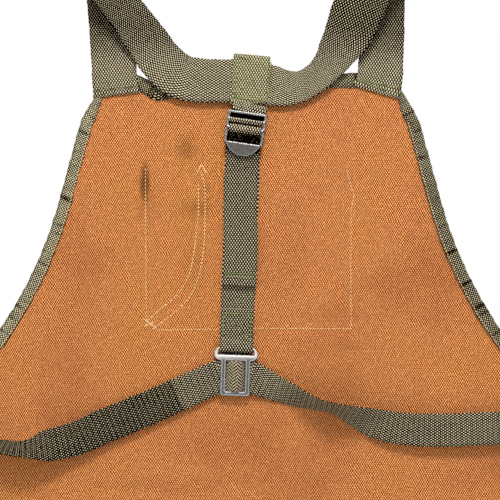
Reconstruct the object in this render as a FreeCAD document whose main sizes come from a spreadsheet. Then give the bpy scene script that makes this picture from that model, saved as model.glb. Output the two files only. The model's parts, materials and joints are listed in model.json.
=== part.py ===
import FreeCAD, Part
import math
import os
import Sketcher

os.makedirs("parts", exist_ok=True)

# Fruit picking bag, hanging as it is worn. Millimetres, +Z up, the wearer's side faces -Y and the pouch +Y.
# The origin is the middle of the bib's top edge, on the wearer's face of the back panel.

DIMENSIONS = [
    ("canvas", 1.2, "thickness of the canvas"),
    ("webbing", 1.1, "thickness of every webbing strap"),
    ("tape", 0.8, "thickness of the binding tape"),
    ("layer_gap", 0.1, "air between two soft layers"),
    ("bib_dip_half", 72, "half width of the level part of the bib's top edge"),
    ("bib_peak_half", 98, "distance of the top edge's peaks from the middle"),
    ("bib_peak_rise", 16, "rise of those peaks above the middle of the top edge"),
    ("bib_corner_half", 127, "half width of the bib at its upper corners"),
    ("bib_corner_rise", 13, "rise of those corners"),
    ("bib_half_top", 135, "half width of the bib level with the middle of its top edge"),
    ("bib_half_shoulder", 147, "half width where the bib's cut-off corner ends"),
    ("bib_shoulder_drop", 22, "drop of that point below the top edge"),
    ("bib_half_chest", 166, "half width where the straight bib side ends"),
    ("bib_chest_drop", 92, "drop of that point below the top edge"),
    ("armhole_radius", 367, "radius of the hollow armhole edge"),
    ("skirt_half_width", 300, "half width of the bag"),
    ("armhole_drop", 290, "drop where the armhole meets the straight side"),
    ("bag_height", 660, "height of the back panel"),
    ("bottom_corner_radius", 90, "radius of the bag's bottom corners"),
    ("binding_face", 11, "width of the binding on each face"),
    ("shoulder_web", 38, "width of the shoulder webbing"),
    ("back_web", 30, "width of the back adjuster webbing"),
    ("belt_web", 28, "width of the waist webbing"),
    ("wrap_web", 27, "webbing width drawn in between the ladder lock's rails"),
    ("belt_hump_web", 25.6, "belt width drawn in inside the slider's window"),
    ("pocket_width", 180, "width of the chest pocket"),
    ("pocket_height", 141, "height of the chest pocket"),
    ("pocket_drop", 63.5, "drop of the pocket's mouth below the top edge"),
    ("pouch_mouth_drop", 312, "drop of the pouch mouth below the top edge"),
    ("pouch_depth", 150, "deepest bulge of the pouch"),
    ("pouch_bottom_drop", 640, "drop of the pouch's open bottom"),
    ("flap_half_width", 180, "half width of the drop-bottom flap"),
    ("flap_length", 132, "length of the flap up the pouch's sloping front"),
    ("flap_slope", 36.5, "angle of that slope from vertical, degrees"),
    ("flap_strap_web", 25, "width of the flap's two straps"),
    ("flap_strap_reach", 50, "length of strap beyond the flap"),
    ("flap_strap_x", 110, "distance of each flap strap from the middle"),
    ("snap_radius", 7, "radius of the press-stud cap"),
    ("lock_top_half", 17.2, "half width of the ladder lock at its top rail"),
    ("lock_low_half", 16.6, "half width of the ladder lock above its tab"),
    ("lock_tab_half", 15.4, "half width of the lock's half-moon tab"),
    ("lock_window", 26, "drop of the tab's top edge below the top rail"),
    ("lock_height", 37.5, "drop of the tab's tip below the top rail"),
    ("lock_rail", 2, "width of the ladder lock's side rails"),
    ("lock_plate", 1.6, "thickness of the ladder lock's steel"),
    ("lock_bar_radius", 1.7, "radius of the ladder lock's cross bars"),
    ("lock_tab_bar_drop", 6.3, "drop of the bar that holds the patch's tongue"),
    ("lock_strap_bar_drop", 13.4, "drop of the bar that grips the back strap"),
    ("lock_tilt", 8.3, "tilt of the lock as it hangs, degrees"),
    ("slider_wide_half", 19.2, "half width of the T slider's upper loop"),
    ("slider_slot_half", 15.5, "half width of the upper loop's slot"),
    ("slider_low_half", 13, "half width of the T slider's lower frame"),
    ("slider_window_half", 8.3, "half width of the lower frame's window"),
    ("slider_foot", 15.5, "drop of the slider's bottom edge below its middle"),
    ("slider_shoulder", 15, "height of the upper loop's lower edge"),
    ("slider_cross_bar", 5.2, "height of the bar between window and slot"),
    ("slider_top", 26.6, "height of the upper loop's top edge"),
    ("slider_ear_radius", 5.6, "radius of the upper loop's corners"),
    ("slider_plate", 2.4, "thickness of the T slider's steel"),
    ("slider_bar_radius", 1.2, "radius of the slider's round bars"),
    ("strap_lean", 2, "lean of the back strap and its slider, degrees"),
]

doc = FreeCAD.newDocument("FruitPickingBag")
sheet = doc.addObject("Spreadsheet::Sheet", "Dims")
for row, (alias, number, meaning) in enumerate(DIMENSIONS, start=1):
    sheet.set(f"A{row}", meaning)
    sheet.set(f"B{row}", str(number))
    sheet.setAlias(f"B{row}", alias)
doc.recompute()


def V(x, y, z):
    return FreeCAD.Vector(x, y, z)


def dim(alias):
    """The number in the sheet's cell of that name."""
    return float(sheet.get(alias))


def number(expression):
    """The value of an expression on the sheet's cells."""
    return float(sheet.evalExpression(expression))


def bind(thing, **expressions):
    """Bind properties to expressions; a double underscore stands for a dot."""
    for prop, expression in expressions.items():
        thing.setExpression(prop.replace("__", "."), expression)
    return thing


NODES = []


def node(thing, label):
    """Name a finished sub-part: its label names its STEP file."""
    thing.Label = label
    NODES.append(thing)
    return thing


def turned(x, z, degrees):
    """A placement at x, z of the frame, leaning its up axis towards +X by the given angle."""
    return FreeCAD.Placement(V(x, 0, z), FreeCAD.Rotation(V(0, 1, 0), degrees))


# Depths of the layers on the wearer's side, from the panel outwards: each is a webbing's middle.
STEP_OUT = dim("webbing") + dim("layer_gap")
SEWN_END_Y = -(dim("tape") + dim("layer_gap") + dim("webbing") / 2)
BACK_STRAP_Y = SEWN_END_Y - STEP_OUT
CROSS_STRAP_Y = BACK_STRAP_Y - STEP_OUT
PATCH_Y = CROSS_STRAP_Y - STEP_OUT

# Frames of the hardware on the back: the lock's origin is its top rail, the slider's the middle of its window.
LOCK_AT = turned(-2.2, -16.5, dim("lock_tilt"))
SLIDER_AT = turned(-12.8, -246, dim("strap_lean"))


# ---- helpers for sketches ------------------------------------------------------------------------------------


def origin_plane(body, role):
    return [f for f in body.Origin.OriginFeatures if f.Role == role][0]


def closed_sketch(parent, name, role, corners, arcs=None):
    """A closed outline on an origin plane. corners are pairs of expressions; arcs maps an edge's number to its
    radius expression, positive where the arc's centre lies left of the edge."""
    arcs = arcs or {}
    sketch = parent.newObject("Sketcher::SketchObject", name)
    sketch.AttachmentSupport = [(origin_plane(parent, role), "")]
    sketch.MapMode = "FlatFace"
    places = [V(number(x), number(y), 0) for x, y in corners]
    ends = []
    for i, start in enumerate(places):
        end = places[(i + 1) % len(places)]
        if i not in arcs:
            sketch.addGeometry(Part.LineSegment(start, end), False)
            ends.append((1, 2))
            continue
        radius = number(arcs[i])
        chord = end - start
        left = V(-chord.y, chord.x, 0).normalize()
        reach = math.sqrt(max(radius**2 - (chord.Length / 2) ** 2, 0.0))
        centre = (start + end) * 0.5 + left * math.copysign(reach, radius)
        first, last = (start, end) if radius > 0 else (end, start)
        turn = [math.atan2(p.y - centre.y, p.x - centre.x) for p in (first, last)]
        circle = Part.Circle(centre, V(0, 0, 1), abs(radius))
        sketch.addGeometry(Part.ArcOfCircle(circle, turn[0], turn[1]), False)
        ends.append((1, 2) if radius > 0 else (2, 1))
    count = len(places)
    for i in range(count):
        after = (i + 1) % count
        sketch.addConstraint(Sketcher.Constraint("Coincident", i, ends[i][1], after, ends[after][0]))
    for i, (x, y) in enumerate(corners):
        for kind, value, expression in (("DistanceX", places[i].x, x), ("DistanceY", places[i].y, y)):
            rule = sketch.addConstraint(Sketcher.Constraint(kind, -1, 1, i, ends[i][0], value))
            sketch.setExpression(f"Constraints[{rule}]", expression)
    for i, radius in arcs.items():
        rule = sketch.addConstraint(Sketcher.Constraint("Radius", i, abs(number(radius))))
        sketch.setExpression(f"Constraints[{rule}]", f"abs({radius})")
    return sketch


def new_body(name):
    return doc.addObject("PartDesign::Body", name)


def pad(body, sketch, length, both_ways=False):
    """Pad a sketch; one on the XZ plane grows towards -Y."""
    feature = body.newObject("PartDesign::Pad", "Pad")
    feature.Profile = sketch
    feature.setExpression("Length", length)
    feature.SideType = "Symmetric" if both_ways else "One side"
    doc.recompute()
    return feature


def pocket_through(body, sketch):
    """Cut a sketch right through the body."""
    before = body.Shape.Volume
    feature = body.newObject("PartDesign::Pocket", "Pocket")
    feature.Profile = sketch
    feature.Type = "ThroughAll"
    feature.SideType = "Symmetric"
    doc.recompute()
    if body.Shape.Volume >= before:
        raise RuntimeError(f"the pocket {sketch.Name} cut nothing")
    return feature


def rounded(body, radius, wanted):
    """Round the edges of the body's tip that the test picks."""
    tip = body.Tip
    edges = [f"Edge{i}" for i, edge in enumerate(tip.Shape.Edges, start=1) if wanted(edge)]
    feature = body.newObject("PartDesign::Fillet", "Round")
    feature.Base = (tip, edges)
    feature.setExpression("Radius", radius)
    doc.recompute()
    return feature


def slab(label, corners, back_y, thickness, arcs=None):
    """A flat panel: an outline in the XZ plane whose back lies at back_y, growing towards -Y."""
    body = new_body(label)
    pad(body, closed_sketch(body, label + "_outline", "XZ_Plane", corners, arcs), thickness)
    bind(body, Placement__Base__y=back_y)
    return node(body, label)


def box_corners(left, right, bottom, top):
    return [(left, bottom), (right, bottom), (right, top), (left, top)]


# ---- helpers for webbing -------------------------------------------------------------------------------------


def ribbon(label, stations, width, thickness="Dims.webbing", at=None):
    """A strap lofted through rectangles. Each station is a point of the strap's middle and its face's normal."""
    at = at or FreeCAD.Placement()
    points = [at.multVec(point) for point, _ in stations]
    normals = [at.Rotation.multVec(normal) for _, normal in stations]
    wide, thick = number(width), number(thickness)
    sections = []
    for i, point in enumerate(points):
        along = points[min(i + 1, len(points) - 1)] - points[max(i - 1, 0)]
        across = along.cross(normals[i]).normalize()
        normal = across.cross(along).normalize()
        section = doc.addObject("Part::Plane", f"{label}_{i}")
        bind(section, Length=width, Width=thickness)
        turn = FreeCAD.Rotation(across, normal, across.cross(normal), "XYZ")
        section.Placement = FreeCAD.Placement(point - across * (wide / 2) - normal * (thick / 2), turn)
        section.Visibility = False
        sections.append(section)
    strap = doc.addObject("Part::Loft", label)
    strap.Sections = sections
    strap.Solid = True
    strap.Ruled = True
    return node(strap, label)


OUT = V(0, -1, 0)
INWARD = V(0, 1, 0)


def around(y, z, radius, start, end, count, normal_sign=1):
    """Stations round a bar that runs along X, from one angle to another in degrees; 0 points at +Y, 90 at +Z."""
    stations = []
    for i in range(count):
        angle = math.radians(start + (end - start) * i / (count - 1))
        away = V(0, math.cos(angle), math.sin(angle))
        stations.append((V(0, y, z) + away * radius, away * normal_sign))
    return stations


# ---- canvas and binding --------------------------------------------------------------------------------------


def bag_outline(body):
    """Outline of the whole back panel, at the binding's outer edge."""
    right = [
        ("Dims.bib_dip_half", "0"),
        ("Dims.bib_peak_half", "Dims.bib_peak_rise"),
        ("Dims.bib_corner_half", "Dims.bib_corner_rise"),
        ("Dims.bib_half_top", "0"),
        ("Dims.bib_half_shoulder", "-Dims.bib_shoulder_drop"),
        ("Dims.bib_half_chest", "-Dims.bib_chest_drop"),
        ("Dims.skirt_half_width", "-Dims.armhole_drop"),
        ("Dims.skirt_half_width", "-(Dims.bag_height - Dims.bottom_corner_radius)"),
        ("Dims.skirt_half_width - Dims.bottom_corner_radius", "-Dims.bag_height"),
    ]
    left = [(f"-({x})", z) for x, z in reversed(right)]
    arcs = {
        5: "Dims.armhole_radius",
        7: "-Dims.bottom_corner_radius",
        9: "-Dims.bottom_corner_radius",
        11: "Dims.armhole_radius",
    }
    return closed_sketch(body, "bag_outline", "XZ_Plane", right + left, arcs)


def outline_slice(source, name, inset, back_y, thickness):
    """The bag's outline moved inwards and given a thickness towards -Y."""
    shape = source
    if inset:
        shape = doc.addObject("Part::Offset2D", name + "_edge")
        shape.Source = source
        shape.Join = "Intersection"
        shape.setExpression("Value", f"-({inset})")
    solid = doc.addObject("Part::Extrusion", name)
    solid.Base = shape
    solid.Solid = True
    solid.DirMode = "Custom"
    solid.Dir = V(0, -1, 0)
    bind(solid, LengthFwd=thickness, Placement__Base__y=back_y)
    return solid


def cut(name, base, tool):
    thing = doc.addObject("Part::Cut", name)
    thing.Base = base
    thing.Tool = tool
    return thing


def back_panel_and_bindings():
    """The canvas back panel, and the folded tape round its edge in four lengths."""
    holder = new_body("outline_holder")
    outline = bag_outline(holder)
    doc.recompute()
    panel = outline_slice(outline, "panel", "Dims.tape + Dims.layer_gap", "Dims.canvas", "Dims.canvas")
    node(panel, "back_panel")
    reach = "Dims.tape + Dims.layer_gap"
    outer = outline_slice(outline, "tape_outer", "", f"Dims.canvas + {reach}", f"Dims.canvas + 2 * ({reach})")
    hole = outline_slice(
        outline, "tape_hole", "Dims.binding_face", "Dims.canvas + 3 * Dims.tape", "Dims.canvas + 6 * Dims.tape"
    )
    slot = outline_slice(
        outline, "tape_slot", "Dims.tape", "Dims.canvas + Dims.layer_gap", "Dims.canvas + 2 * Dims.layer_gap"
    )
    tape = cut("tape_channel", cut("tape_ring", outer, hole), slot)
    wide, deep = "2 * Dims.skirt_half_width", "40"
    zones = {
        "bib_top_binding": ("-120", "240", "-20", "40"),
        "armhole_binding_left": (f"-({wide})", f"{wide} - 120.4", "-Dims.armhole_drop", "Dims.armhole_drop + 20"),
        "armhole_binding_right": ("120.4", wide, "-Dims.armhole_drop", "Dims.armhole_drop + 20"),
        "skirt_binding": (f"-({wide})", f"2 * ({wide})", "-(Dims.bag_height + 40)",
                          "Dims.bag_height + 39.6 - Dims.armhole_drop"),
    }
    for label, (x, width, z, height) in zones.items():
        zone = doc.addObject("Part::Box", label + "_zone")
        bind(zone, Length=width, Width=deep, Height=height, Placement__Base__x=x, Placement__Base__z=z)
        zone.Placement.Base.y = -20
        piece = doc.addObject("Part::Common", label)
        piece.Base = tape
        piece.Tool = zone
        node(piece, label)


def chest_pocket():
    """The flat patch pocket on the bag's front, and the hem tape along its mouth."""
    half, top = "Dims.pocket_width / 2", "-Dims.pocket_drop"
    front = "2 * Dims.canvas + Dims.layer_gap"
    slab("chest_pocket", box_corners(f"-({half})", half, f"{top} - Dims.pocket_height", top), front, "Dims.canvas")
    slab("pocket_hem", box_corners(f"-({half})", half, f"{top} - 12", top),
         f"{front} + Dims.layer_gap + Dims.tape", "Dims.tape")


# ---- pouch ---------------------------------------------------------------------------------------------------

POUCH_BACK_Y = dim("canvas") + dim("layer_gap")
POUCH_LEVELS = 11


def pouch_level(share):
    """Half width, depth and height of the pouch at a share of the way down from its mouth."""
    z = -dim("pouch_mouth_drop") - share * (dim("pouch_bottom_drop") - dim("pouch_mouth_drop"))
    corner, seam = dim("bottom_corner_radius"), 14
    into_corner = max(0.0, corner - dim("bag_height") - z)
    half = dim("skirt_half_width") - corner + math.sqrt((corner - seam) ** 2 - into_corner**2)
    depth = dim("pouch_depth") * (0.085 + 0.915 * math.sin(math.pi * (0.33 + 0.67 * share)))
    return half, depth, z


def pouch_curve(half, depth, z, squareness=3.0, count=13):
    """Points of the pouch's cross-section at height z: a squared half oval."""
    points = []
    for i in range(count):
        turn = math.pi * i / (count - 1)
        across, out = math.cos(turn), math.sin(turn)
        x = math.copysign(abs(across) ** (2 / squareness), across) * half
        points.append(V(x, POUCH_BACK_Y + depth * abs(out) ** (2 / squareness), z))
    return points


def pouch_section(half, depth, z, wall):
    outer, inner = Part.BSplineCurve(), Part.BSplineCurve()
    outer.interpolate(pouch_curve(half, depth, z))
    inner.interpolate(pouch_curve(half - wall, depth - wall, z))
    edges = [outer.toShape(), inner.toShape()]
    for i in (0, 1):
        edges.append(Part.makeLine(edges[0].Vertexes[i].Point, edges[1].Vertexes[i].Point))
    return Part.Wire(Part.__sortEdges__(edges))


def pouch_shell(label, shares, wall, grow=0.0):
    """The pouch's front as a shell of the given wall, open at the top, the back and the bottom."""
    wires = []
    for share in shares:
        half, depth, z = pouch_level(share)
        wires.append(pouch_section(half + grow, depth + grow, z, wall))
    shell = doc.addObject("Part::Feature", label)
    shell.Shape = Part.makeLoft(wires, True, True)
    return node(shell, label)


def pouch():
    """The pouch's canvas front and the tape round its mouth."""
    pouch_shell("pouch_panel", [i / (POUCH_LEVELS - 1) for i in range(POUCH_LEVELS)], dim("canvas"))
    pouch_shell("pouch_rim_binding", (0.004, 0.02, 0.037), dim("tape"), grow=dim("tape") + 1.0)


# ---- drop bottom ---------------------------------------------------------------------------------------------

FLAP_AT = FreeCAD.Placement(V(0, 20.5, -643), FreeCAD.Rotation(V(1, 0, 0), -dim("flap_slope")))
SLEEVE_AIR = 0.8
SLEEVE_SEAM = 6
STUD_HEIGHT = 7.6


def on_flap(thing, x, y, z, turn=0, **sizes):
    """Place a primitive in the flap's frame: Z runs up the slope from the fold, +Y points away from the pouch."""
    bind(thing, **sizes)
    thing.Placement = FLAP_AT.multiply(FreeCAD.Placement(V(x, y, z), FreeCAD.Rotation(V(1, 0, 0), turn)))
    return thing


def flap_box(name, x, y, z, **sizes):
    return on_flap(doc.addObject("Part::Box", name), x, y, z, **sizes)


def flap_stud(name, x, y, z, **sizes):
    """A cone whose axis points away from the slope."""
    return on_flap(doc.addObject("Part::Cone", name), x, y, z, turn=-90, **sizes)


def drop_bottom():
    """The flat sleeve that folds up over the pouch's open bottom, its hem, straps and press studs."""
    half, length = dim("flap_half_width"), dim("flap_length")
    outer = flap_box("sleeve_outer", -half, 0, 0, Length="2 * Dims.flap_half_width",
                     Width=f"2 * Dims.canvas + {SLEEVE_AIR}", Height="Dims.flap_length")
    bore = flap_box("sleeve_bore", SLEEVE_SEAM - half, dim("canvas"), -1,
                    Length=f"2 * (Dims.flap_half_width - {SLEEVE_SEAM})", Width=str(SLEEVE_AIR),
                    Height="Dims.flap_length + 2")
    node(cut("chute_flap", outer, bore), "chute_flap")
    hem_y = 2 * dim("canvas") + SLEEVE_AIR + dim("layer_gap")
    hem_height = 14
    hem = flap_box("hem", -half, hem_y, length - hem_height - 1, Length="2 * Dims.flap_half_width",
                   Width="Dims.tape", Height=str(hem_height))
    node(hem, "chute_hem")

    strap_y = hem_y + dim("tape") + dim("layer_gap")
    strap_foot = 20
    snap_up = length + dim("flap_strap_reach") - 2 * dim("snap_radius")
    groups = {"chute_straps": [], "snap_caps": [], "snap_studs": []}
    for side in (-1, 1):
        x = side * dim("flap_strap_x")
        groups["chute_straps"].append(
            flap_box("flap_strap", x - dim("flap_strap_web") / 2, strap_y, strap_foot, Length="Dims.flap_strap_web",
                     Width="Dims.webbing", Height=f"Dims.flap_length + Dims.flap_strap_reach - {strap_foot}")
        )
        groups["snap_caps"].append(
            flap_stud("snap_cap", x, strap_y + STEP_OUT, snap_up, Radius1="Dims.snap_radius",
                      Radius2="Dims.snap_radius - 1.5", Height="2")
        )
        groups["snap_studs"].append(
            flap_stud("snap_stud", x, strap_y - 0.3 - STUD_HEIGHT, snap_up, Radius1="Dims.snap_radius - 1",
                      Radius2="Dims.snap_radius - 4", Height=str(STUD_HEIGHT))
        )
    for label, solids in groups.items():
        group = doc.addObject("Part::Compound", label)
        group.Links = solids
        node(group, label)


# ---- shoulder straps and waist belt --------------------------------------------------------------------------


def shoulder_strap(label, side, foot_x, loop, run):
    """A strap sewn to one bib corner, up over the shoulder and down to the junction in the middle of the back.
    loop gives the top arc's x and z, its y is behind the wearer; run lists x, z down to the junction."""
    top_x, top_z = loop
    radius = 24
    stations = [(V(foot_x, SEWN_END_Y, -3), INWARD), (V(foot_x * 1.04, SEWN_END_Y, 60), INWARD)]
    stations.append((V(foot_x * 1.11, SEWN_END_Y - 1.5, 125), INWARD))
    middle_y = SEWN_END_Y - 4 - radius
    for angle in (0, 30, 60, 90, 120, 150, 180):
        turn = math.radians(angle)
        away = V(0, math.cos(turn), math.sin(turn))
        shift = side * 6 * (1 - math.cos(turn))
        stations.append((V(top_x + shift, middle_y, top_z) + away * radius, away))
    last = stations[-1][0]
    first_x, first_z = run[0]
    stations.append((V((last.x + first_x) / 2, last.y * 0.62, (last.z + first_z) / 2), OUT))
    stations.append((V(first_x, CROSS_STRAP_Y - 5, first_z), OUT))
    stations += [(V(x, CROSS_STRAP_Y, z), OUT) for x, z in run[1:]]
    return ribbon(label, stations, "Dims.shoulder_web")


def shoulder_straps():
    left = [(-110, 76), (-88, 46), (-58, 18), (-28, 9.5), (-2, 10)]
    right = [(97, 80), (77, 37), (53, 11), (27, 5), (2, 8)]
    shoulder_strap("shoulder_strap_left", -1, -118, (-139, 185), left)
    shoulder_strap("shoulder_strap_right", 1, 113, (131, 185), right)


def waist_belts():
    """Both lengths of the waist webbing, from the slider out to the side seams."""
    seam = dim("skirt_half_width") - 3
    left = [(-37, -251.2), (-72, -265.5), (-107, -279), (-148, -299), (-197, -306.5), (-250, -304)]
    right = [(11, -252), (30, -259), (60, -268.5), (98, -281), (138, -290), (190, -290.5), (250, -289)]
    for label, run, side in (("waist_belt_left", left, -1), ("waist_belt_right", right, 1)):
        stations = [(V(x, CROSS_STRAP_Y, z), OUT) for x, z in run]
        stations.append((V(side * (seam - 18), SEWN_END_Y - 0.2, run[-1][1]), OUT))
        stations.append((V(side * seam, SEWN_END_Y - 0.2, run[-1][1]), OUT))
        ribbon(label, stations, "Dims.belt_web")


# ---- ladder lock ---------------------------------------------------------------------------------------------

LOCK_BAR_Y = PATCH_Y - dim("webbing") / 2 - dim("layer_gap") - dim("lock_bar_radius")
TAB_FORWARD = 0.2
WRAP_RADIUS = dim("lock_bar_radius") + dim("layer_gap") + dim("webbing") / 2


def junction_patch():
    """The square of webbing sewn over the two straps where they meet."""
    stations = [(V(0, PATCH_Y, z), OUT) for z in (50, 30, 9.4)]
    ribbon("junction_patch", stations, "Dims.shoulder_web - 6", at=LOCK_AT)


def fused(label, things):
    """One solid made of several that meet."""
    joined = doc.addObject("Part::MultiFuse", label)
    joined.Shapes = things
    return node(joined, label)


def round_bar(name, length, radius, y, z, at):
    """A round bar along the hardware's X axis."""
    bar = doc.addObject("Part::Cylinder", name)
    bind(bar, Radius=radius, Height=length)
    lying = FreeCAD.Placement(V(-number(length) / 2, y, z), FreeCAD.Rotation(V(0, 1, 0), 90))
    bar.Placement = at.multiply(lying)
    return bar


def in_frame(body, at, y):
    """Stand a body in a hardware frame with its back at depth y."""
    body.Placement = at.multiply(FreeCAD.Placement(V(0, y, 0), FreeCAD.Rotation()))


def ladder_lock():
    """The pressed-steel ladder lock: frame, two round bars and the half-moon release tab."""
    frame = new_body("lock_frame")
    top, low, half = "Dims.lock_top_half", "Dims.lock_low_half", "Dims.lock_tab_half"
    rail, window, bevel = "Dims.lock_rail", "-Dims.lock_window", "Dims.lock_rail / 2"
    edge = [
        (f"-{half}", f"{window} - {rail}"),
        (half, f"{window} - {rail}"),
        (low, window),
        (top, "0"),
        (f"{top} - {bevel}", bevel),
        (f"-({top} - {bevel})", bevel),
        (f"-{top}", "0"),
        (f"-{low}", window),
    ]
    pad(frame, closed_sketch(frame, "frame_edge", "XZ_Plane", edge), "Dims.lock_plate")
    hole = [
        (f"-({low} - {rail})", f"{window} - 2 * {rail}"),
        (f"{low} - {rail}", f"{window} - 2 * {rail}"),
        (f"{top} - {rail}", f"-{bevel}"),
        (f"-({top} - {rail})", f"-{bevel}"),
    ]
    pocket_through(frame, closed_sketch(frame, "frame_hole", "XZ_Plane", hole))
    in_frame(frame, LOCK_AT, LOCK_BAR_Y + dim("lock_plate") / 2)

    tab = new_body("lock_tab")
    rise = "(Dims.lock_height - Dims.lock_window)"
    moon_radius = f"({half} * {half} + {rise} * {rise}) / (2 * {rise})"
    moon = closed_sketch(tab, "moon", "XZ_Plane", [(f"-{half}", window), (half, window)], {0: moon_radius})
    pad(tab, moon, "Dims.lock_plate")
    in_frame(tab, LOCK_AT, LOCK_BAR_Y - TAB_FORWARD)
    bars = [
        round_bar(name, f"2 * {low} - {bevel}", "Dims.lock_bar_radius", LOCK_BAR_Y, -dim(drop), LOCK_AT)
        for name, drop in (("tab_bar", "lock_tab_bar_drop"), ("strap_bar", "lock_strap_bar_drop"))
    ]
    fused("ladder_lock", [frame, tab] + bars)


def lock_webbing():
    """The webbing that turns round the lock's two bars."""
    hook = [(V(0, PATCH_Y, 8.6), INWARD), (V(0, PATCH_Y, 2), INWARD)]
    hook += around(LOCK_BAR_Y, -dim("lock_tab_bar_drop"), WRAP_RADIUS, 0, -200, 9)
    ribbon("lock_tab_loop", hook, "Dims.wrap_web", at=LOCK_AT)
    bar = -dim("lock_strap_bar_drop")
    turn = [(V(0, PATCH_Y, bar - 13), INWARD), (V(0, PATCH_Y, bar - 7), INWARD)]
    turn += around(LOCK_BAR_Y, bar, WRAP_RADIUS, 0, 190, 9)
    front = PATCH_Y - STEP_OUT - 0.1
    turn += [(V(0, front - 1.8, bar - 4.4), OUT), (V(0, front, bar - 8.4), OUT), (V(0, front, bar - 13), OUT)]
    ribbon("lock_strap_wrap", turn, "Dims.wrap_web", at=LOCK_AT)


# ---- back adjuster strap and T slider ------------------------------------------------------------------------

SLIDER_BAR_Z = dim("slider_top") - dim("slider_bar_radius")
SLIDER_BACK_Y = CROSS_STRAP_Y - dim("webbing") / 2 - dim("layer_gap")
SLIDER_BAR_Y = SLIDER_BACK_Y - dim("slider_plate") / 2
LOOP_RADIUS = dim("slider_bar_radius") + 0.5 + dim("webbing") / 2


def centre_strap():
    """The back strap: down from the lock, round the slider's top bar and back up to its sewn end."""
    start, z = [], SLIDER_BAR_Z
    for up in (187, 120, 60, 24):
        start.append((V(0, BACK_STRAP_Y, z + up), OUT))
    start.append((V(0, BACK_STRAP_Y - 0.6, z + 11), OUT))
    start += around(SLIDER_BAR_Y, z, LOOP_RADIUS, 0, -180, 9, normal_sign=-1)
    start.append((V(0, SLIDER_BAR_Y - LOOP_RADIUS + 1.2, z + 5), INWARD))
    for up in (12, 22, 33):
        start.append((V(0, CROSS_STRAP_Y, z + up), INWARD))
    ribbon("centre_strap", start, "Dims.back_web", at=SLIDER_AT)


def strap_tail():
    """The loose end of the back strap, below the ladder lock."""
    stations = [(V(0, PATCH_Y, z), OUT) for z in (169, 130, 81)]
    ribbon("strap_tail", stations, "Dims.back_web", at=SLIDER_AT)


def t_slider():
    """The T slider: a wide slotted loop for the back strap over a narrow frame for the waist belt."""
    frame = new_body("slider_frame")
    wide, low, ear = "Dims.slider_wide_half", "Dims.slider_low_half", "Dims.slider_ear_radius"
    foot, shoulder, top = "-Dims.slider_foot", "Dims.slider_shoulder", "Dims.slider_top"
    right = [
        (f"{low} - Dims.slider_plate", foot),
        (low, f"{foot} + Dims.slider_plate"),
        (low, shoulder),
        (f"{wide} - {ear}", shoulder),
        (wide, f"{shoulder} + {ear}"),
        (wide, f"{top} - {ear}"),
        (f"{wide} - {ear}", top),
    ]
    edge = right + [(f"-({x})", z) for x, z in reversed(right)]
    bends = {0: "Dims.slider_plate", 3: ear, 5: ear, 7: ear, 9: ear, 12: "Dims.slider_plate"}
    # The pad is made before the slot, which opens the loop's top for the round bar.
    pad(frame, closed_sketch(frame, "slider_edge", "XZ_Plane", edge, bends), "Dims.slider_plate")
    window, slot = "Dims.slider_window_half", "Dims.slider_slot_half"
    window_box = box_corners(f"-{window}", window, f"{foot} + 4.2", shoulder)
    pocket_through(frame, closed_sketch(frame, "window", "XZ_Plane", window_box))
    slot_box = box_corners(f"-{slot}", slot, f"{shoulder} + Dims.slider_cross_bar", f"{top} + 1")
    pocket_through(frame, closed_sketch(frame, "slot", "XZ_Plane", slot_box))
    rounded(frame, "0.7", lambda edge: edge.BoundBox.YMax < 0.01 - dim("slider_plate"))
    in_frame(frame, SLIDER_AT, SLIDER_BACK_Y)
    top_bar = round_bar("slider_top_bar", f"2 * {slot} + 2", "Dims.slider_bar_radius", SLIDER_BAR_Y, SLIDER_BAR_Z,
                        SLIDER_AT)
    upright = doc.addObject("Part::Cylinder", "slider_belt_bar")
    bind(upright, Radius="Dims.slider_bar_radius - 0.1", Height="Dims.slider_foot + Dims.slider_shoulder - 2.5")
    upright.Placement = SLIDER_AT.multiply(
        FreeCAD.Placement(V(0, SLIDER_BAR_Y, 3 - dim("slider_foot")), FreeCAD.Rotation())
    )
    fused("t_slider", [frame, top_bar, upright])


def belt_loop():
    """The waist belt where it runs behind the slider's sides and humps over its upright bar."""
    middle = 1.85
    hump = SLIDER_BAR_Y - dim("slider_bar_radius") - 0.2 - dim("webbing") / 2
    half = [
        (16, CROSS_STRAP_Y),
        (11, CROSS_STRAP_Y),
        (7.6, CROSS_STRAP_Y - 0.05),
        (4.4, CROSS_STRAP_Y - 1.5),
        (1.9, hump + 0.5),
    ]
    run = [(-x, y) for x, y in half] + [(0, hump)] + list(reversed(half))
    stations = [(V(x, y, middle), OUT) for x, y in run]
    ribbon("belt_loop", stations, "Dims.belt_hump_web", at=SLIDER_AT)


# ---- assembly of the document --------------------------------------------------------------------------------


def export_nodes():
    """Check every object of the document and write each sub-part's STEP file."""
    doc.recompute()
    for thing in doc.Objects:
        if "Invalid" in thing.State or "Error" in thing.State:
            raise RuntimeError(f"{thing.Name} did not compute: {thing.State}")
    for thing in NODES:
        if thing.Shape.isNull() or not thing.Shape.isValid():
            raise RuntimeError(f"{thing.Label} has no valid shape")
        thing.Shape.exportStep(f"parts/{thing.Label}.step")
        print(thing.Label, round(thing.Shape.Volume), thing.Shape.BoundBox)


back_panel_and_bindings()
chest_pocket()
pouch()
drop_bottom()
shoulder_straps()
waist_belts()
junction_patch()
ladder_lock()
lock_webbing()
centre_strap()
strap_tail()
t_slider()
belt_loop()
export_nodes()
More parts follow.
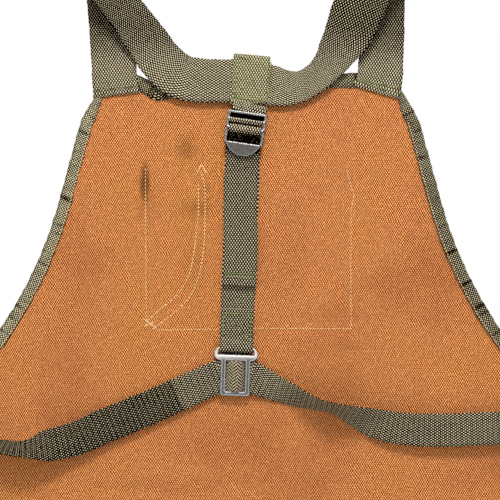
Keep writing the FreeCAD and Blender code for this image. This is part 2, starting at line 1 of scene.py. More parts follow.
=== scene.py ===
import json
import math
import bpy
import numpy as np
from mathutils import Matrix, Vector

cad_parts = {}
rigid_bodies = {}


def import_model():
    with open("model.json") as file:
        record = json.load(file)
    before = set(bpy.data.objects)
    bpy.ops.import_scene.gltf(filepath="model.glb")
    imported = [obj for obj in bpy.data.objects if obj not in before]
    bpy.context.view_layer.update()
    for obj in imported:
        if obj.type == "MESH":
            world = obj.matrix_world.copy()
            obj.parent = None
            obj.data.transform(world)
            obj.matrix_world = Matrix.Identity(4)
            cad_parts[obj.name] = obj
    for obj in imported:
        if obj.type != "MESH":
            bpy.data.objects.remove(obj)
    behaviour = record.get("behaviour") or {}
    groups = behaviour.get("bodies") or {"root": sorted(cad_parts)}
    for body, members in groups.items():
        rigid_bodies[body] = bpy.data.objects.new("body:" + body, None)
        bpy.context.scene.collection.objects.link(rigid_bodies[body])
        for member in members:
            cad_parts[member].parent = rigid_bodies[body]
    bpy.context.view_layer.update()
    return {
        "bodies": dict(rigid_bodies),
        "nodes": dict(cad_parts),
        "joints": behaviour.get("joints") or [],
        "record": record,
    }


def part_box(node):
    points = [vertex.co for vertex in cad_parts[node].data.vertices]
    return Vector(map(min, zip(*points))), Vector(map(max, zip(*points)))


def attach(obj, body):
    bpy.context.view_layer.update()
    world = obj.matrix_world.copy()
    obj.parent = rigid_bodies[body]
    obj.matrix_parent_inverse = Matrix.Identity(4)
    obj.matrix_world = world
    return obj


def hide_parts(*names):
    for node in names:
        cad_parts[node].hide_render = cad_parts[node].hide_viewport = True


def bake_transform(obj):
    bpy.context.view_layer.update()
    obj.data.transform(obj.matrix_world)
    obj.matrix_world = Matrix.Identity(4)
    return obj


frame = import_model()
MM = 0.001

# Lengths are millimetres in the CAD's frame until a mesh is made: X right, Y away from the wearer, Z up, and
# the bib's top edge at Z 0.


# ---- places taken from the frame ----


def joint(name):
    return next(j for j in frame["joints"] if j["name"] == name)


def extent(node):
    """Lowest and highest corner of a CAD node, in millimetres."""
    low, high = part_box(node)
    return np.array(low) / MM, np.array(high) / MM


class LeaningFrame:
    """A frame that leans about Y: local x along the hardware, z up it, y as in the bag's frame."""

    def __init__(self, place, lean, below):
        self.c, self.s = math.cos(lean), math.sin(lean)
        self.x = place[0] / MM - self.s * below
        self.z = place[2] / MM - self.c * below

    def at(self, x, y, z):
        return np.array([self.x + x * self.c + z * self.s, y, self.z - x * self.s + z * self.c])

    def turn(self, x, y, z):
        return np.array([x * self.c + z * self.s, y, -x * self.s + z * self.c])


def hinge_frame(name, below):
    """Frame of a hinge whose axis is local -X, its origin a given distance below the hinge."""
    axis = joint(name)["axis"]
    return LeaningFrame(joint(name)["pos_m"], math.atan2(axis[2], -axis[0]), below)


LOCK = hinge_frame("lock_tilt", 9.0)
SLIDER = hinge_frame("slider_tilt", 25.4)
BAG = LeaningFrame((0, 0, 0), 0.0, 0.0)
STRAP_AXIS = joint("back_strap_adjust")["axis"]
STRAP = LeaningFrame(joint("slider_tilt")["pos_m"], math.atan2(STRAP_AXIS[0], STRAP_AXIS[2]), 0.0)

SEWN_Y, BACK_Y, CROSS_Y, PATCH_Y = -1.45, -2.65, -3.85, -5.05
PANEL_LOW, _ = extent("back_panel")
POCKET_LOW, POCKET_HIGH = extent("chest_pocket")
FACE_Y = PANEL_LOW[1]
FLAP_SLOPE = math.radians(36.5)
OUT, BACK, UP = (0, -1, 0), (0, 1, 0), (0, 0, 1)


# ---- node trees ----


def srgb(r, g, b):
    """Linear colour of an 8-bit sRGB one."""
    def linear(c):
        c /= 255
        return c / 12.92 if c <= 0.04045 else ((c + 0.055) / 1.055) ** 2.4
    return (linear(r), linear(g), linear(b), 1.0)


class Tree:
    """Short names for making a material's nodes."""

    def __init__(self, name):
        self.material = bpy.data.materials.new(name)
        self.material.use_nodes = True
        self.nodes = self.material.node_tree.nodes
        self.links = self.material.node_tree.links
        self.shader = self.nodes["Principled BSDF"]

    def plug(self, value, socket):
        if hasattr(value, "is_output"):
            self.links.new(value, socket)
        else:
            socket.default_value = value

    def math(self, operation, a, b=0.0, c=0.0):
        node = self.nodes.new("ShaderNodeMath")
        node.operation = operation
        for socket, value in zip(node.inputs, (a, b, c)):
            self.plug(value, socket)
        return node.outputs[0]

    def add(self, a, b):
        return self.math("ADD", a, b)

    def mul(self, a, b):
        return self.math("MULTIPLY", a, b)

    def wave(self, value, period, phase=0.0):
        """0 to 1 and back over each period."""
        turns = self.add(self.mul(value, 2 * math.pi / period), phase)
        return self.add(self.mul(self.math("COSINE", turns), 0.5), 0.5)

    def crowns(self, across, along, pitch, row):
        """Rows of bumps: one per pitch along each row, half a pitch over on the next."""
        lean = self.mul(along, pitch / (2 * row))
        rising = self.wave(self.add(across, lean), pitch)
        falling = self.wave(self.math("SUBTRACT", across, lean), pitch)
        return self.mul(rising, falling)

    def clamped(self, value, low, high):
        return self.math("MINIMUM", self.math("MAXIMUM", value, low), high)

    def split(self, vector):
        node = self.nodes.new("ShaderNodeSeparateXYZ")
        self.plug(vector, node.inputs[0])
        return node.outputs

    def uv(self):
        """Place across and along the cloth, in millimetres."""
        node = self.nodes.new("ShaderNodeUVMap")
        node.uv_map = "UVMap"
        x, y, _ = self.split(node.outputs[0])
        return x, y

    def joined(self, x, y, z=0.0):
        node = self.nodes.new("ShaderNodeCombineXYZ")
        for socket, value in zip(node.inputs, (x, y, z)):
            self.plug(value, socket)
        return node.outputs[0]

    def noise(self, vector, scale, detail=3.0, roughness=0.55):
        node = self.nodes.new("ShaderNodeTexNoise")
        self.plug(vector, node.inputs["Vector"])
        node.inputs["Scale"].default_value = scale
        node.inputs["Detail"].default_value = detail
        node.inputs["Roughness"].default_value = roughness
        return node.outputs["Fac"]

    def position(self):
        return self.nodes.new("ShaderNodeTexCoord").outputs["Object"]

    def height_ramp(self, start, full, depth):
        """0 until the height start, in millimetres, going smoothly to depth at the height full."""
        _, _, height = self.split(self.position())
        reach = self.nodes.new("ShaderNodeMapRange")
        reach.interpolation_type = "SMOOTHSTEP"
        reach.inputs["From Min"].default_value = start * MM
        reach.inputs["From Max"].default_value = full * MM
        reach.inputs["To Max"].default_value = depth
        self.plug(height, reach.inputs["Value"])
        return reach.outputs[0]

    def ramp(self, value, stops):
        """Colour of a value between stops of (place, colour)."""
        node = self.nodes.new("ShaderNodeValToRGB")
        elements = node.color_ramp.elements
        while len(elements) < len(stops):
            elements.new(0.5)
        for element, (place, colour) in zip(elements, stops):
            element.position = place
            element.color = colour
        self.plug(value, node.inputs[0])
        return node.outputs[0]

    def level(self, value, stops):
        """The same with a plain number at each stop."""
        return self.ramp(value, [(place, (number, number, number, 1)) for place, number in stops])

    def mix(self, share, a, b, kind="MIX"):
        node = self.nodes.new("ShaderNodeMix")
        node.data_type = "RGBA"
        node.blend_type = kind
        self.plug(share, node.inputs["Factor"])
        self.plug(a, node.inputs[6])
        self.plug(b, node.inputs[7])
        return node.outputs[2]

    def vector_math(self, operation, vector, other=(0, 0, 0)):
        node = self.nodes.new("ShaderNodeVectorMath")
        node.operation = operation
        self.plug(vector, node.inputs[0])
        self.plug(other, node.inputs[1])
        return node.outputs["Value"]

    def bump(self, height, distance_mm, strength, normal=None):
        node = self.nodes.new("ShaderNodeBump")
        node.inputs["Strength"].default_value = strength
        node.inputs["Distance"].default_value = distance_mm * MM
        self.plug(height, node.inputs["Height"])
        if normal:
            self.plug(normal, node.inputs["Normal"])
        self.plug(node.outputs[0], self.shader.inputs["Normal"])

    def finish(self, colour, roughness, metallic=0.0, sheen=0.0):
        self.plug(colour, self.shader.inputs["Base Color"])
        self.plug(roughness, self.shader.inputs["Roughness"])
        self.shader.inputs["Metallic"].default_value = metallic
        self.shader.inputs["Sheen Weight"].default_value = sheen
        if not metallic:
            self.shader.inputs["Specular IOR Level"].default_value = 0.0
        return self.material


# ---- materials ----


def stain(t, x, z, wide, tall):
    """1 at a spot of the panel, fading to 0 at its rim; places and sizes in millimetres."""
    place_x, _, place_z = t.split(t.position())
    across = t.mul(t.add(place_x, -x * MM), 1 / (wide * MM))
    along = t.mul(t.add(place_z, -z * MM), 1 / (tall * MM))
    reach = t.math("SQRT", t.add(t.mul(across, across), t.mul(along, along)))
    return t.math("MAXIMUM", t.math("SUBTRACT", 1.0, reach), 0.0)


# Each: middle x and z, half width, half height and strength of a stain.
STAINS = [
    (-91.5, -76.0, 5.5, 21.0, 2.0), (-89.0, -92.0, 12.0, 24.0, 0.34), (-55.0, -46.0, 13.0, 15.0, 0.7),
    (-46.0, -99.0, 20.0, 12.0, 0.6), (-38.0, -84.0, 10.0, 12.0, 0.35), (-49.0, -150.0, 14.0, 40.0, 0.3),
]


def canvas_material():
    """Plain-weave cotton duck: rows of bright staggered crowns over dark gaps, slubs, and stained places."""
    row_pitch, crown_pitch = 1.62, 2.0
    t = Tree("canvas")
    u, v = t.uv()
    wander = t.noise(t.joined(u, v), 0.03, 2.0)
    wu = t.add(u, t.mul(wander, 6.0))
    wv = t.add(v, t.mul(wander, 5.0))
    crown = t.crowns(wu, wv, crown_pitch, row_pitch)
    weft = t.noise(t.joined(t.mul(u, 0.12), t.mul(v, 0.9)), 1.0, 2.0)
    warp = t.noise(t.joined(t.mul(u, 0.9), t.mul(v, 0.10)), 1.0, 2.0)
    speck = t.noise(t.joined(u, v), 0.5, 2.0, 0.75)
    lit = t.add(t.mul(crown, 2.2), t.add(t.mul(weft, 0.5), t.add(t.mul(warp, 0.4), t.mul(speck, 1.7))))
    lit = t.add(lit, -1.34)
    stops = [
        (0.04, srgb(112, 34, 5)), (0.22, srgb(172, 72, 20)), (0.42, srgb(222, 108, 42)),
        (0.58, srgb(249, 144, 73)), (0.76, srgb(255, 202, 138)),
    ]
    yarn = t.ramp(lit, stops)
    patches = t.noise(t.position(), 8.0, 4.0)
    tones = [(0.28, srgb(228, 214, 206)), (0.5, srgb(255, 249, 240)), (0.7, srgb(255, 253, 222))]
    tone = t.ramp(patches, tones)
    colour = t.mix(1.0, yarn, tone, "MULTIPLY")
    soiled = t.noise(t.position(), 150.0, 4.0, 0.7)
    total = 0.0
    for x, z, wide, tall, strength in STAINS:
        total = t.add(total, t.mul(stain(t, x, z, wide, tall), strength))
    share = t.math("MINIMUM", t.mul(total, t.add(t.mul(soiled, 1.6), -0.15)), 0.8)
    colour = t.mix(share, colour, srgb(92, 50, 26))
    t.bump(t.add(crown, t.mul(speck, 0.6)), 0.5, 0.8)
    return t.finish(colour, 0.92)


def webbing_material(name, rib=1.75, dot=2.3, lift=0.0, chevron=0.0, green=0.0, upright=False, shade=None,
                     painted_shade_along=None, band=0.0):
    """Ribbed strap webbing: rows across the strap, each a string of cream crowns over near-black gaps.
    chevron folds the rows into zigzags of that pitch; upright turns them to run along the strap.
    shade paints shade on a stretch by height: the heights where it starts and where it is full, and how far
    it goes.
    fade paints shade by pairs of a place along the strap and a depth.
    band is the pitch of broad bands across the strap."""
    t = Tree(name)
    u, v = t.uv()
    along = u
    if upright:
        u, v = v, u
    if chevron:
        fold = t.math("ABSOLUTE", t.add(t.math("FRACT", t.mul(v, 1 / chevron)), -0.5))
        u = t.add(u, t.mul(fold, chevron * 0.7))
    crown = t.crowns(v, u, dot, rib)
    if band:
        crown = t.mul(crown, t.add(t.mul(t.wave(u, band), 0.35), 0.8))
    grain = t.noise(t.joined(t.mul(u, 0.55), t.mul(v, 0.65)), 1.0, 2.0, 0.75)
    drift = t.noise(t.position(), 24.0, 3.0)
    lit = t.add(t.mul(crown, 1.9), t.add(t.mul(grain, 1.4), t.mul(drift, 0.22)))
    lit = t.add(lit, lift - 1.0)
    # Painted shade: by height, and by place along the strap.
    if shade:
        lit = t.add(lit, t.height_ramp(shade[0], shade[1], -shade[2]))
    if painted_shade_along:
        span = painted_shade_along[-1][0]
        painted_shade_depths = t.level(t.mul(along, 1 / span), [(place / span, depth) for place, depth in painted_shade_along])
        lit = t.math("SUBTRACT", lit, painted_shade_depths)
    stops = [
        (0.31, srgb(4, 3, 0)), (0.38, srgb(36, 26, 8)), (0.44, srgb(122, 95, 51)),
        (0.50, srgb(226, 198, 145)), (0.58, srgb(255, 240, 202)),
    ]
    colour = t.ramp(lit, stops)
    if green:
        colour = t.mix(green, colour, srgb(140, 160, 70))
    t.bump(t.add(crown, t.mul(grain, 0.5)), 0.8, 0.9)
    return t.finish(colour, 0.9)


def tape_material():
    """Soft olive binding tape: a fine diagonal mesh of cream crowns, and painted shade in its puckers and
    edges.
    """
    mesh_pitch, girth = 2.35, 12
    t = Tree("binding_tape")
    u, v = t.uv()
    slant = t.wave(t.add(u, t.mul(v, 0.9)), mesh_pitch)
    cross = t.wave(t.add(u, t.mul(v, -0.9)), mesh_pitch)
    grain = t.noise(t.joined(u, v), 0.8, 3.0, 0.75)
    drift = t.noise(t.position(), 40.0, 3.0)
    crown = t.mul(slant, cross)
    lit = t.add(t.mul(crown, 1.5), t.add(t.mul(grain, 1.7), t.mul(drift, 0.35)))
    # Painted shade along the tape's folded edges.
    edges = t.level(t.mul(v, 1 / girth), [(0.02, 0.6), (0.12, 0), (0.75, 0), (0.92, 0.3)])
    lit = t.math("SUBTRACT", lit, edges)
    # Painted shade in the tape's puckers.
    creases = t.noise(t.joined(t.mul(u, 0.17), t.mul(v, 0.03)), 1.0, 1.0)
    lit = t.add(lit, t.mul(t.math("MAXIMUM", t.add(creases, -0.57), 0.0), -4.0))
    lit = t.add(lit, -1.04)
    stops = [
        (0.20, srgb(14, 8, 0)), (0.31, srgb(66, 50, 20)), (0.44, srgb(142, 118, 70)),
        (0.57, srgb(220, 200, 148)), (0.73, srgb(255, 246, 208)),
    ]
    colour = t.ramp(lit, stops)
    t.bump(t.add(t.mul(crown, 0.6), grain), 0.7, 0.8)
    return t.finish(colour, 0.88, sheen=0.05)


def thread_material(name, colour, dark):
    """Twisted sewing thread, with its plies showing as a fine slant."""
    t = Tree(name)
    u, v = t.uv()
    ply = t.wave(t.add(u, t.mul(v, 0.6)), 0.7)
    fluff = t.noise(t.position(), 500.0, 2.0)
    shade = t.ramp(t.add(t.mul(ply, 0.5), t.mul(fluff, 0.5)), [(0.2, dark), (0.7, colour)])
    t.bump(ply, 0.08, 0.6)
    return t.finish(shade, 0.6, sheen=0.3)


def steel_material(name, base, bright, dark, bevel_mm, roughness, face_normal=OUT, painted_highlight_band=None):
    """Plated steel: a painted highlight inside each edge of the faces along face_normal, painted shade on
    its sides.
    polish: a pair of heights in millimetres over which a painted highlight turns the metal from plain to
    bright."""
    t = Tree(name)
    place = t.position()
    bevel = t.nodes.new("ShaderNodeBevel")
    bevel.samples = 6
    bevel.inputs["Radius"].default_value = bevel_mm * MM
    own = t.nodes.new("ShaderNodeVectorTransform")
    own.vector_type, own.convert_from, own.convert_to = "NORMAL", "WORLD", "OBJECT"
    t.plug(bevel.outputs[0], own.inputs[0])
    facing = t.vector_math("DOT_PRODUCT", own.outputs[0], face_normal)
    # How far the bevel's normal leans from the face: it places the painted highlight and the painted shade.
    edge_tilt = t.math("SUBTRACT", 1.0, t.math("ABSOLUTE", facing))
    scuff = t.noise(place, 900.0, 4.0, 0.7)
    cloudy = t.noise(place, 160.0, 3.0)
    # rim is a painted highlight, a bright line just inside each edge; the scuffs beside it are real wear.
    rim = t.level(edge_tilt, [(0.004, 0), (0.012, 1), (0.06, 1), (0.09, 0)])
    share = t.add(t.mul(rim, 0.9), t.mul(t.add(scuff, -0.45), 0.5))
    # A painted highlight between two heights.
    if painted_highlight_band:
        share = t.add(share, t.height_ramp(painted_highlight_band[0], painted_highlight_band[1], 0.85))
    # Painted shade: dark outer edges, and dark faces seen at a slant.
    painted_outline = t.level(edge_tilt, [(0.08, 0), (0.12, 1)])
    turned = t.nodes.new("ShaderNodeLayerWeight")
    turned.inputs["Blend"].default_value = 0.35
    t.plug(bevel.outputs[0], turned.inputs["Normal"])
    turned_away = t.level(turned.outputs["Facing"], [(0.35, 0), (0.75, 1)])
    colour = t.mix(t.clamped(share, 0.0, 1.0), base, bright)
    colour = t.mix(t.math("MAXIMUM", turned_away, painted_outline), colour, dark)
    rough = t.add(roughness, t.mul(t.add(cloudy, -0.5), 0.22))
    t.bump(scuff, 0.06, 0.3, normal=bevel.outputs[0])
    return t.finish(colour, rough, metallic=0.65)


def floor_material():
    """Pale and plain, fading into the surround away from the bag."""
    t = Tree("floor")
    cloud = t.noise(t.position(), 3.0, 3.0)
    reach = t.mul(t.vector_math("LENGTH", t.position()), 0.4)
    t.plug(t.level(reach, [(0.32, 1), (0.8, 0)]), t.shader.inputs["Alpha"])
    return t.finish(t.ramp(cloud, [(0.3, srgb(240, 239, 236)), (0.7, srgb(246, 246, 244))]), 0.9)


CANVAS = canvas_material()
# Painted shade: the shoulder webbing darkens upwards where it rises over the shoulders.
SHOULDER_WEB = webbing_material("shoulder_webbing", lift=0.04, shade=(22.0, 62.0, 0.56))
PATCH_WEB = webbing_material("patch_webbing", rib=1.9, dot=2.3, lift=0.16, green=0.10)
# Painted shadow: the back strap and its tail darken towards the lock, just below its tab.
BACK_WEB = webbing_material("back_webbing", rib=1.8, dot=2.4, lift=-0.20, shade=(-76.0, -58.0, 0.16))
# Painted shade where the tongue shows through the lock's first slot, under its top rail.
TONGUE_WEB = webbing_material(
    "tongue_webbing", rib=1.9, dot=2.3, lift=0.08,
    painted_shade_along=[(0, 0), (8, 0), (9.5, 1.5), (18, 1.5), (20.5, 0), (40, 0)],
)
# Painted shade where the strap comes up behind the lock's bar and where it goes down under the tab.
WRAP_WEB = webbing_material(
    "wrap_webbing", rib=1.8, dot=2.4, lift=0.08,
    painted_shade_along=[(0, 1.5), (21, 1.5), (23, 0), (26.5, 0), (31, 1.3), (60, 1.5)],
)
# A dark copy of the webbing: painted shade for pieces that show only in the shade behind hardware.
SHADED_WEB = webbing_material("shaded_webbing", rib=1.8, dot=2.4, lift=-0.42)
BELT_WEB = webbing_material("belt_webbing", rib=1.75, dot=2.3, lift=-0.20, band=4.6)
# A darker copy of the belt webbing for the belt's left outer length: painted shade.
SHADED_BELT_WEB = webbing_material("shaded_belt_webbing", rib=1.75, dot=2.3, lift=-0.58, band=4.6)
HUMP_WEB = webbing_material("hump_webbing", rib=1.5, dot=1.9, lift=0.04, chevron=8.0, upright=True)
TAPE = tape_material()
CREAM_THREAD = thread_material("cream_thread", srgb(255, 232, 182), srgb(228, 164, 98))
GREEN_THREAD = thread_material("green_thread", srgb(176, 194, 112), srgb(78, 90, 38))
# Each steel's bright colour is its painted highlight, and its dark colour its painted shade.
LOCK_STEEL = steel_material(
    "lock_steel", srgb(94, 91, 86), srgb(240, 239, 237), srgb(6, 5, 4), bevel_mm=1.6, roughness=0.42
)
SLIDER_STEEL = steel_material(
    "slider_steel", srgb(96, 94, 93), srgb(255, 254, 252), srgb(4, 3, 3), bevel_mm=2.4, roughness=0.40,
    # A painted highlight that brightens the slider's upper ring from the first height to the second.
    painted_highlight_band=(-231.0, -226.0),
)
STUD_STEEL = steel_material(
    "stud_metal", srgb(104, 100, 94), srgb(226, 222, 214), srgb(20, 18, 16), bevel_mm=0.8, roughness=0.33,
    face_normal=(0.0, math.cos(FLAP_SLOPE), -math.sin(FLAP_SLOPE)),
)


# ---- meshes ----


def make_mesh(name, points, faces, material, uvs=None):
    """A mesh object from points in millimetres. uvs holds one pair per point, in millimetres of cloth."""
    mesh = bpy.data.meshes.new(name)
    mesh.from_pydata((np.asarray(points) * MM).tolist(), [], faces)
    mesh.materials.append(material)
    if uvs is not None:
        layer = mesh.uv_layers.new(name="UVMap")
        corner = np.empty(len(mesh.loops), np.int32)
        mesh.loops.foreach_get("vertex_index", corner)
        layer.data.foreach_set("uv", np.asarray(uvs, np.float32)[corner].ravel())
    mesh.polygons.foreach_set("use_smooth", np.full(len(mesh.polygons), True))
    mesh.update()
    thing = bpy.data.objects.new(name, mesh)
    bpy.context.scene.collection.objects.link(thing)
    return thing


def dress(thing, slot, body=None, *nodes):
    """Gives a piece the body it rides on and the CAD nodes it stands for; slot is not used."""
    if body:
        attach(thing, body)
    if nodes:
        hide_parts(*nodes)


def bend(thing):
    """Bakes a piece's placement into its mesh."""
    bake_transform(thing)


def two_sided(x, y, z, thickness):
    """Points of a grid and of the same grid a thickness behind it, and the cloth's place at each."""
    sheets = [np.stack([x, y + level, z], axis=-1) for level in (0, thickness)]
    points = np.concatenate([sheet.reshape(-1, 3) for sheet in sheets])
    return points, points[:, ::2]


def grid_faces(rows, columns, close=False):
    """Quads over a grid of points; close joins the last column back to the first."""
    faces = []
    last = columns if close else columns - 1
    for i in range(rows - 1):
        for j in range(last):
            k = (j + 1) % columns
            faces.append((i * columns + j, i * columns + k, (i + 1) * columns + k, (i + 1) * columns + j))
    return faces


def tube_faces(rows, columns):
    """Faces of a grid closed round into a tube, with both its ends capped."""
    first = tuple(range(columns))[::-1]
    last = tuple((rows - 1) * columns + j for j in range(columns))
    return grid_faces(rows, columns, close=True) + [first, last]


def cloth_faces(rows, columns, flip=False):
    """Faces of cloth with two sides: a grid, the grid behind it, and the rim between them."""
    total = rows * columns
    near = grid_faces(rows, columns)
    far = [tuple(i + total for i in face)[::-1] for face in near]
    rim = list(range(columns)) + [i * columns + columns - 1 for i in range(1, rows)]
    rim += [(rows - 1) * columns + j for j in range(columns - 2, -1, -1)]
    rim += [i * columns for i in range(rows - 2, 0, -1)]
    edge = [(b, a, a + total, b + total) for a, b in zip(rim, rim[1:] + rim[:1])]
    faces = near + far + edge
    return [face[::-1] for face in faces] if flip else faces


def places_along(points):
    """Distance of each point along a path from the path's start."""
    return np.concatenate([[0], np.cumsum(np.linalg.norm(np.diff(points, axis=0), axis=1))])


def at_places(where, places, points):
    """Points of a path at given distances along it."""
    return np.stack([np.interp(where, places, column) for column in np.transpose(points)], axis=-1)


def curve_through(values, count):
    """Smooth samples through control values: a Catmull-Rom curve, evenly stepped per span by its length."""
    values = np.asarray(values, float)
    places = places_along(values[:, :3])
    spans = np.diff(places)
    padded = np.vstack([2 * values[0] - values[1], values, 2 * values[-1] - values[-2]])
    samples = []
    for where in np.linspace(0, places[-1], count):
        i = min(int(np.searchsorted(places, where, side="right")) - 1, len(values) - 2)
        t = (where - places[i]) / max(spans[i], 1e-9)
        a, b, c, d = padded[i : i + 4]
        square, cube = 2 * a - 5 * b + 4 * c - d, 3 * b - a - 3 * c + d
        samples.append(0.5 * (2 * b + (c - a) * t + square * t**2 + cube * t**3))
    return np.array(samples)


def unit(vectors):
    return vectors / np.maximum(np.linalg.norm(vectors, axis=-1, keepdims=True), 1e-12)


def ripple(places, seed, wavelengths=(9.0, 17.0, 31.0)):
    """Repeatable unevenness along a length, about -1 to 1."""
    phases = np.random.default_rng(seed).uniform(0, 2 * math.pi, len(wavelengths))
    waves = [np.sin(2 * math.pi * places / w + p) for w, p in zip(wavelengths, phases)]
    return sum(waves) / len(waves)


class Strap:
    """A length of webbing through stations of x, y, z, face normal and width share in a leaning frame.
    A station may leave off its share if that is 1, and its normal too if that is OUT.
    The webbing can be cut into parts that meet."""

    ACROSS = 11

    def __init__(
        self, stations, width, frame=BAG, thickness=1.15, step=1.6, crown=0.12, wobble=0.25, seed=1
    ):
        def row(x, y, z, normal=OUT, share=1.0):
            return [*frame.at(x, y, z), *frame.turn(*normal), share]

        rows = np.array([row(*station) for station in stations], float)
        dense = curve_through(rows, max(int(places_along(rows[:, :3])[-1] / step), 8))
        self.middle = dense[:, :3]
        along = unit(np.gradient(self.middle, axis=0))
        self.across = unit(np.cross(along, dense[:, 3:6]))
        self.normal = unit(np.cross(self.across, along))
        self.place = places_along(self.middle)
        self.width = width * dense[:, 6]
        self.thickness, self.crown, self.width_mm = thickness, crown, width
        self.edge = wobble * ripple(self.place, seed)

    def part(self, name, material, start=0.0, end=None):
        """A mesh of the stretch between two places along the strap, in millimetres from its start."""
        end = self.place[-1] if end is None else end
        first = int(np.argmin(abs(self.place - start)))
        last = int(np.argmin(abs(self.place - end))) + 1
        share = np.linspace(-0.5, 0.5, self.ACROSS)
        bow = self.crown * (1 - (2 * share) ** 2)
        half = np.where(abs(share) > 0.49, 0.25, 0.5) * self.thickness
        ring_share = np.concatenate([share, share[::-1]])
        ring_rise = np.concatenate([half + bow, (bow - half)[::-1]])
        middle = self.middle[first:last, None, :]
        span = self.width[first:last, None] * ring_share + self.edge[first:last, None]
        points = middle + self.across[first:last, None, :] * span[..., None]
        points = points + self.normal[first:last, None, :] * ring_rise[None, :, None]
        rows, columns = points.shape[:2]
        u = np.repeat(self.place[first:last, None], columns, axis=1)
        v = np.broadcast_to(ring_share * self.width_mm, u.shape)
        uvs = np.stack([u, v], axis=-1).reshape(-1, 2)
        return make_mesh(name, points.reshape(-1, 3), tube_faces(rows, columns), material, uvs)

    def point(self, place, across, rise=0.0):
        """A point on the strap's face: a place along it and a share of its half width."""
        i = int(np.argmin(abs(self.place - place)))
        face = self.thickness / 2 + self.crown * (1 - across**2) + rise
        sideways = across * self.width[i] / 2 + self.edge[i]
        return self.middle[i] + self.across[i] * sideways + self.normal[i] * face


def stitch_row(name, path, facing, material, body, pitch=3.4, length=2.5, radius=0.33, jitter=0.15):
    """A row of thread stitches along a path, each a short rounded bead sunk at its ends."""
    sides, rings = 6, 5
    path = np.asarray(path, float)
    facing = np.broadcast_to(np.asarray(facing, float), path.shape)
    places = places_along(path)
    end = places[-1]
    points, faces, uvs = [], [], []
    rng = np.random.default_rng(len(name) + int(end))
    for where in np.arange(pitch / 2, end, pitch):
        middle = at_places(where, places, path)
        up = unit(at_places(where, places, facing))
        ahead, behind = at_places([min(where + 1, end), max(where - 1, 0)], places, path)
        along = unit(ahead - behind)
        side = unit(np.cross(along, up))
        skew = rng.normal(0, jitter)
        start = len(points)
        for share in np.linspace(0, 1, rings):
            swell = math.sin(math.pi * share)
            thick = radius * (0.45 + 0.55 * swell)
            centre = middle + along * length * (share - 0.5) + up * radius * (1.5 * swell - 0.55)
            centre = centre + side * skew * (share - 0.5)
            for k in range(sides):
                angle = 2 * math.pi * k / sides
                points.append(centre + (side * math.cos(angle) + up * math.sin(angle)) * thick)
                uvs.append((where + length * share, k * 0.4))
        faces += [tuple(start + i for i in face) for face in tube_faces(rings, sides)]
    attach(make_mesh(name, np.array(points), faces, material, uvs), body)


# ---- canvas panel ----


def smooth_step(value, low, high):
    t = np.clip((value - low) / (high - low), 0, 1)
    return t * t * (3 - 2 * t)


CORNER_POINTS = [(127.0, 13.0), (134.5, -1.0), (146.5, -22.0), (165.5, -92.0)]
ARM_RADIUS, ARM_DROP, HALF, HEIGHT, CORNER = 367.0, 290.0, 299.5, 659.5, 90.0


def side_edge(side, count=420):
    """The bag's edge from the bib's corner down to the middle of the bottom, as x, z points."""
    corners = np.array(CORNER_POINTS)
    chest = corners[-1]
    wing = np.array([HALF, -ARM_DROP])
    points = [a + (b - a) * t for a, b in zip(corners[:-1], corners[1:]) for t in np.linspace(0, 1, 12)[:-1]]
    points.append(chest)
    chord = wing - chest
    rise = math.sqrt(ARM_RADIUS**2 - np.dot(chord, chord) / 4)
    centre = (chest + wing) / 2 + unit(np.array([-chord[1], chord[0]])) * rise
    first = math.atan2(*(chest - centre)[::-1])
    last = math.atan2(*(wing - centre)[::-1])
    if first - last > math.pi:
        last += 2 * math.pi
    if last - first > math.pi:
        first += 2 * math.pi
    for turn in np.linspace(first, last, 70)[1:]:
        points.append(centre + ARM_RADIUS * np.array([math.cos(turn), math.sin(turn)]))
    corner_centre = np.array([HALF - CORNER, CORNER - HEIGHT])
    points += [np.array([HALF, z]) for z in np.linspace(-ARM_DROP, corner_centre[1], 40)[1:]]
    for turn in np.linspace(0, math.pi / 2, 24)[1:]:
        points.append(corner_centre + CORNER * np.array([math.cos(turn), -math.sin(turn)]))
    points += [np.array([x, -HEIGHT]) for x in np.linspace(corner_centre[0], 0, 40)[1:]]
    places = places_along(np.array(points))
    points = at_places(np.linspace(0, places[-1], count), places, np.array(points))
    kernel = np.hanning(9) / np.hanning(9).sum()
    padded = np.pad(points, ((4, 4), (0, 0)), mode="edge")
    soft = np.stack([np.convolve(column, kernel, "valid") for column in padded.T], axis=1)
    soft[0], soft[-1] = points[0], points[-1]
    soft[:, 0] *= side
    return soft


# Each: middle x and z, slope, depth and half length of a crease.
CREASES = [
    (62.0, -212.0, -0.06, -1.6, 46.0), (70.0, -196.0, 0.05, 1.2, 50.0), (-52.0, -211.0, 0.04, -1.4, 40.0),
    (-15.0, -330.0, 0.03, -1.5, 110.0), (175.0, -322.0, 0.12, -1.6, 60.0), (-95.0, -345.0, -0.05, 1.4, 70.0),
]


def canvas_drape(x, z):
    """Depth of the canvas away from its flat plane: broad soft folds and small puckers."""
    swell = 1.3 * np.sin(x / 61 + z / 93 + 0.7) + 0.9 * np.sin(x / 37 - z / 71 + 2.1)
    small = 0.35 * np.sin(x / 13.5 + z / 23 + 1.0) * np.sin(z / 17 - x / 41)
    fold_line = z + 306 - 0.07 * (x + 200)
    fold = -2.4 * np.exp(-((fold_line / 9.0) ** 2)) * smooth_step(-x, 90, 190)
    for x_mid, z_mid, slope, deep, half in CREASES:
        line = z - z_mid - slope * (x - x_mid)
        ends = 1 - smooth_step(np.abs(x - x_mid), half * 0.4, half)
        fold = fold + deep * np.exp(-((line / 4.5) ** 2)) * ends
    hollow = 3.0 * np.exp(-(((x - 170) / 60) ** 2) - (((z + 215) / 36) ** 2))
    return swell * 0.55 + small * 0.6 + fold + hollow * 0.5


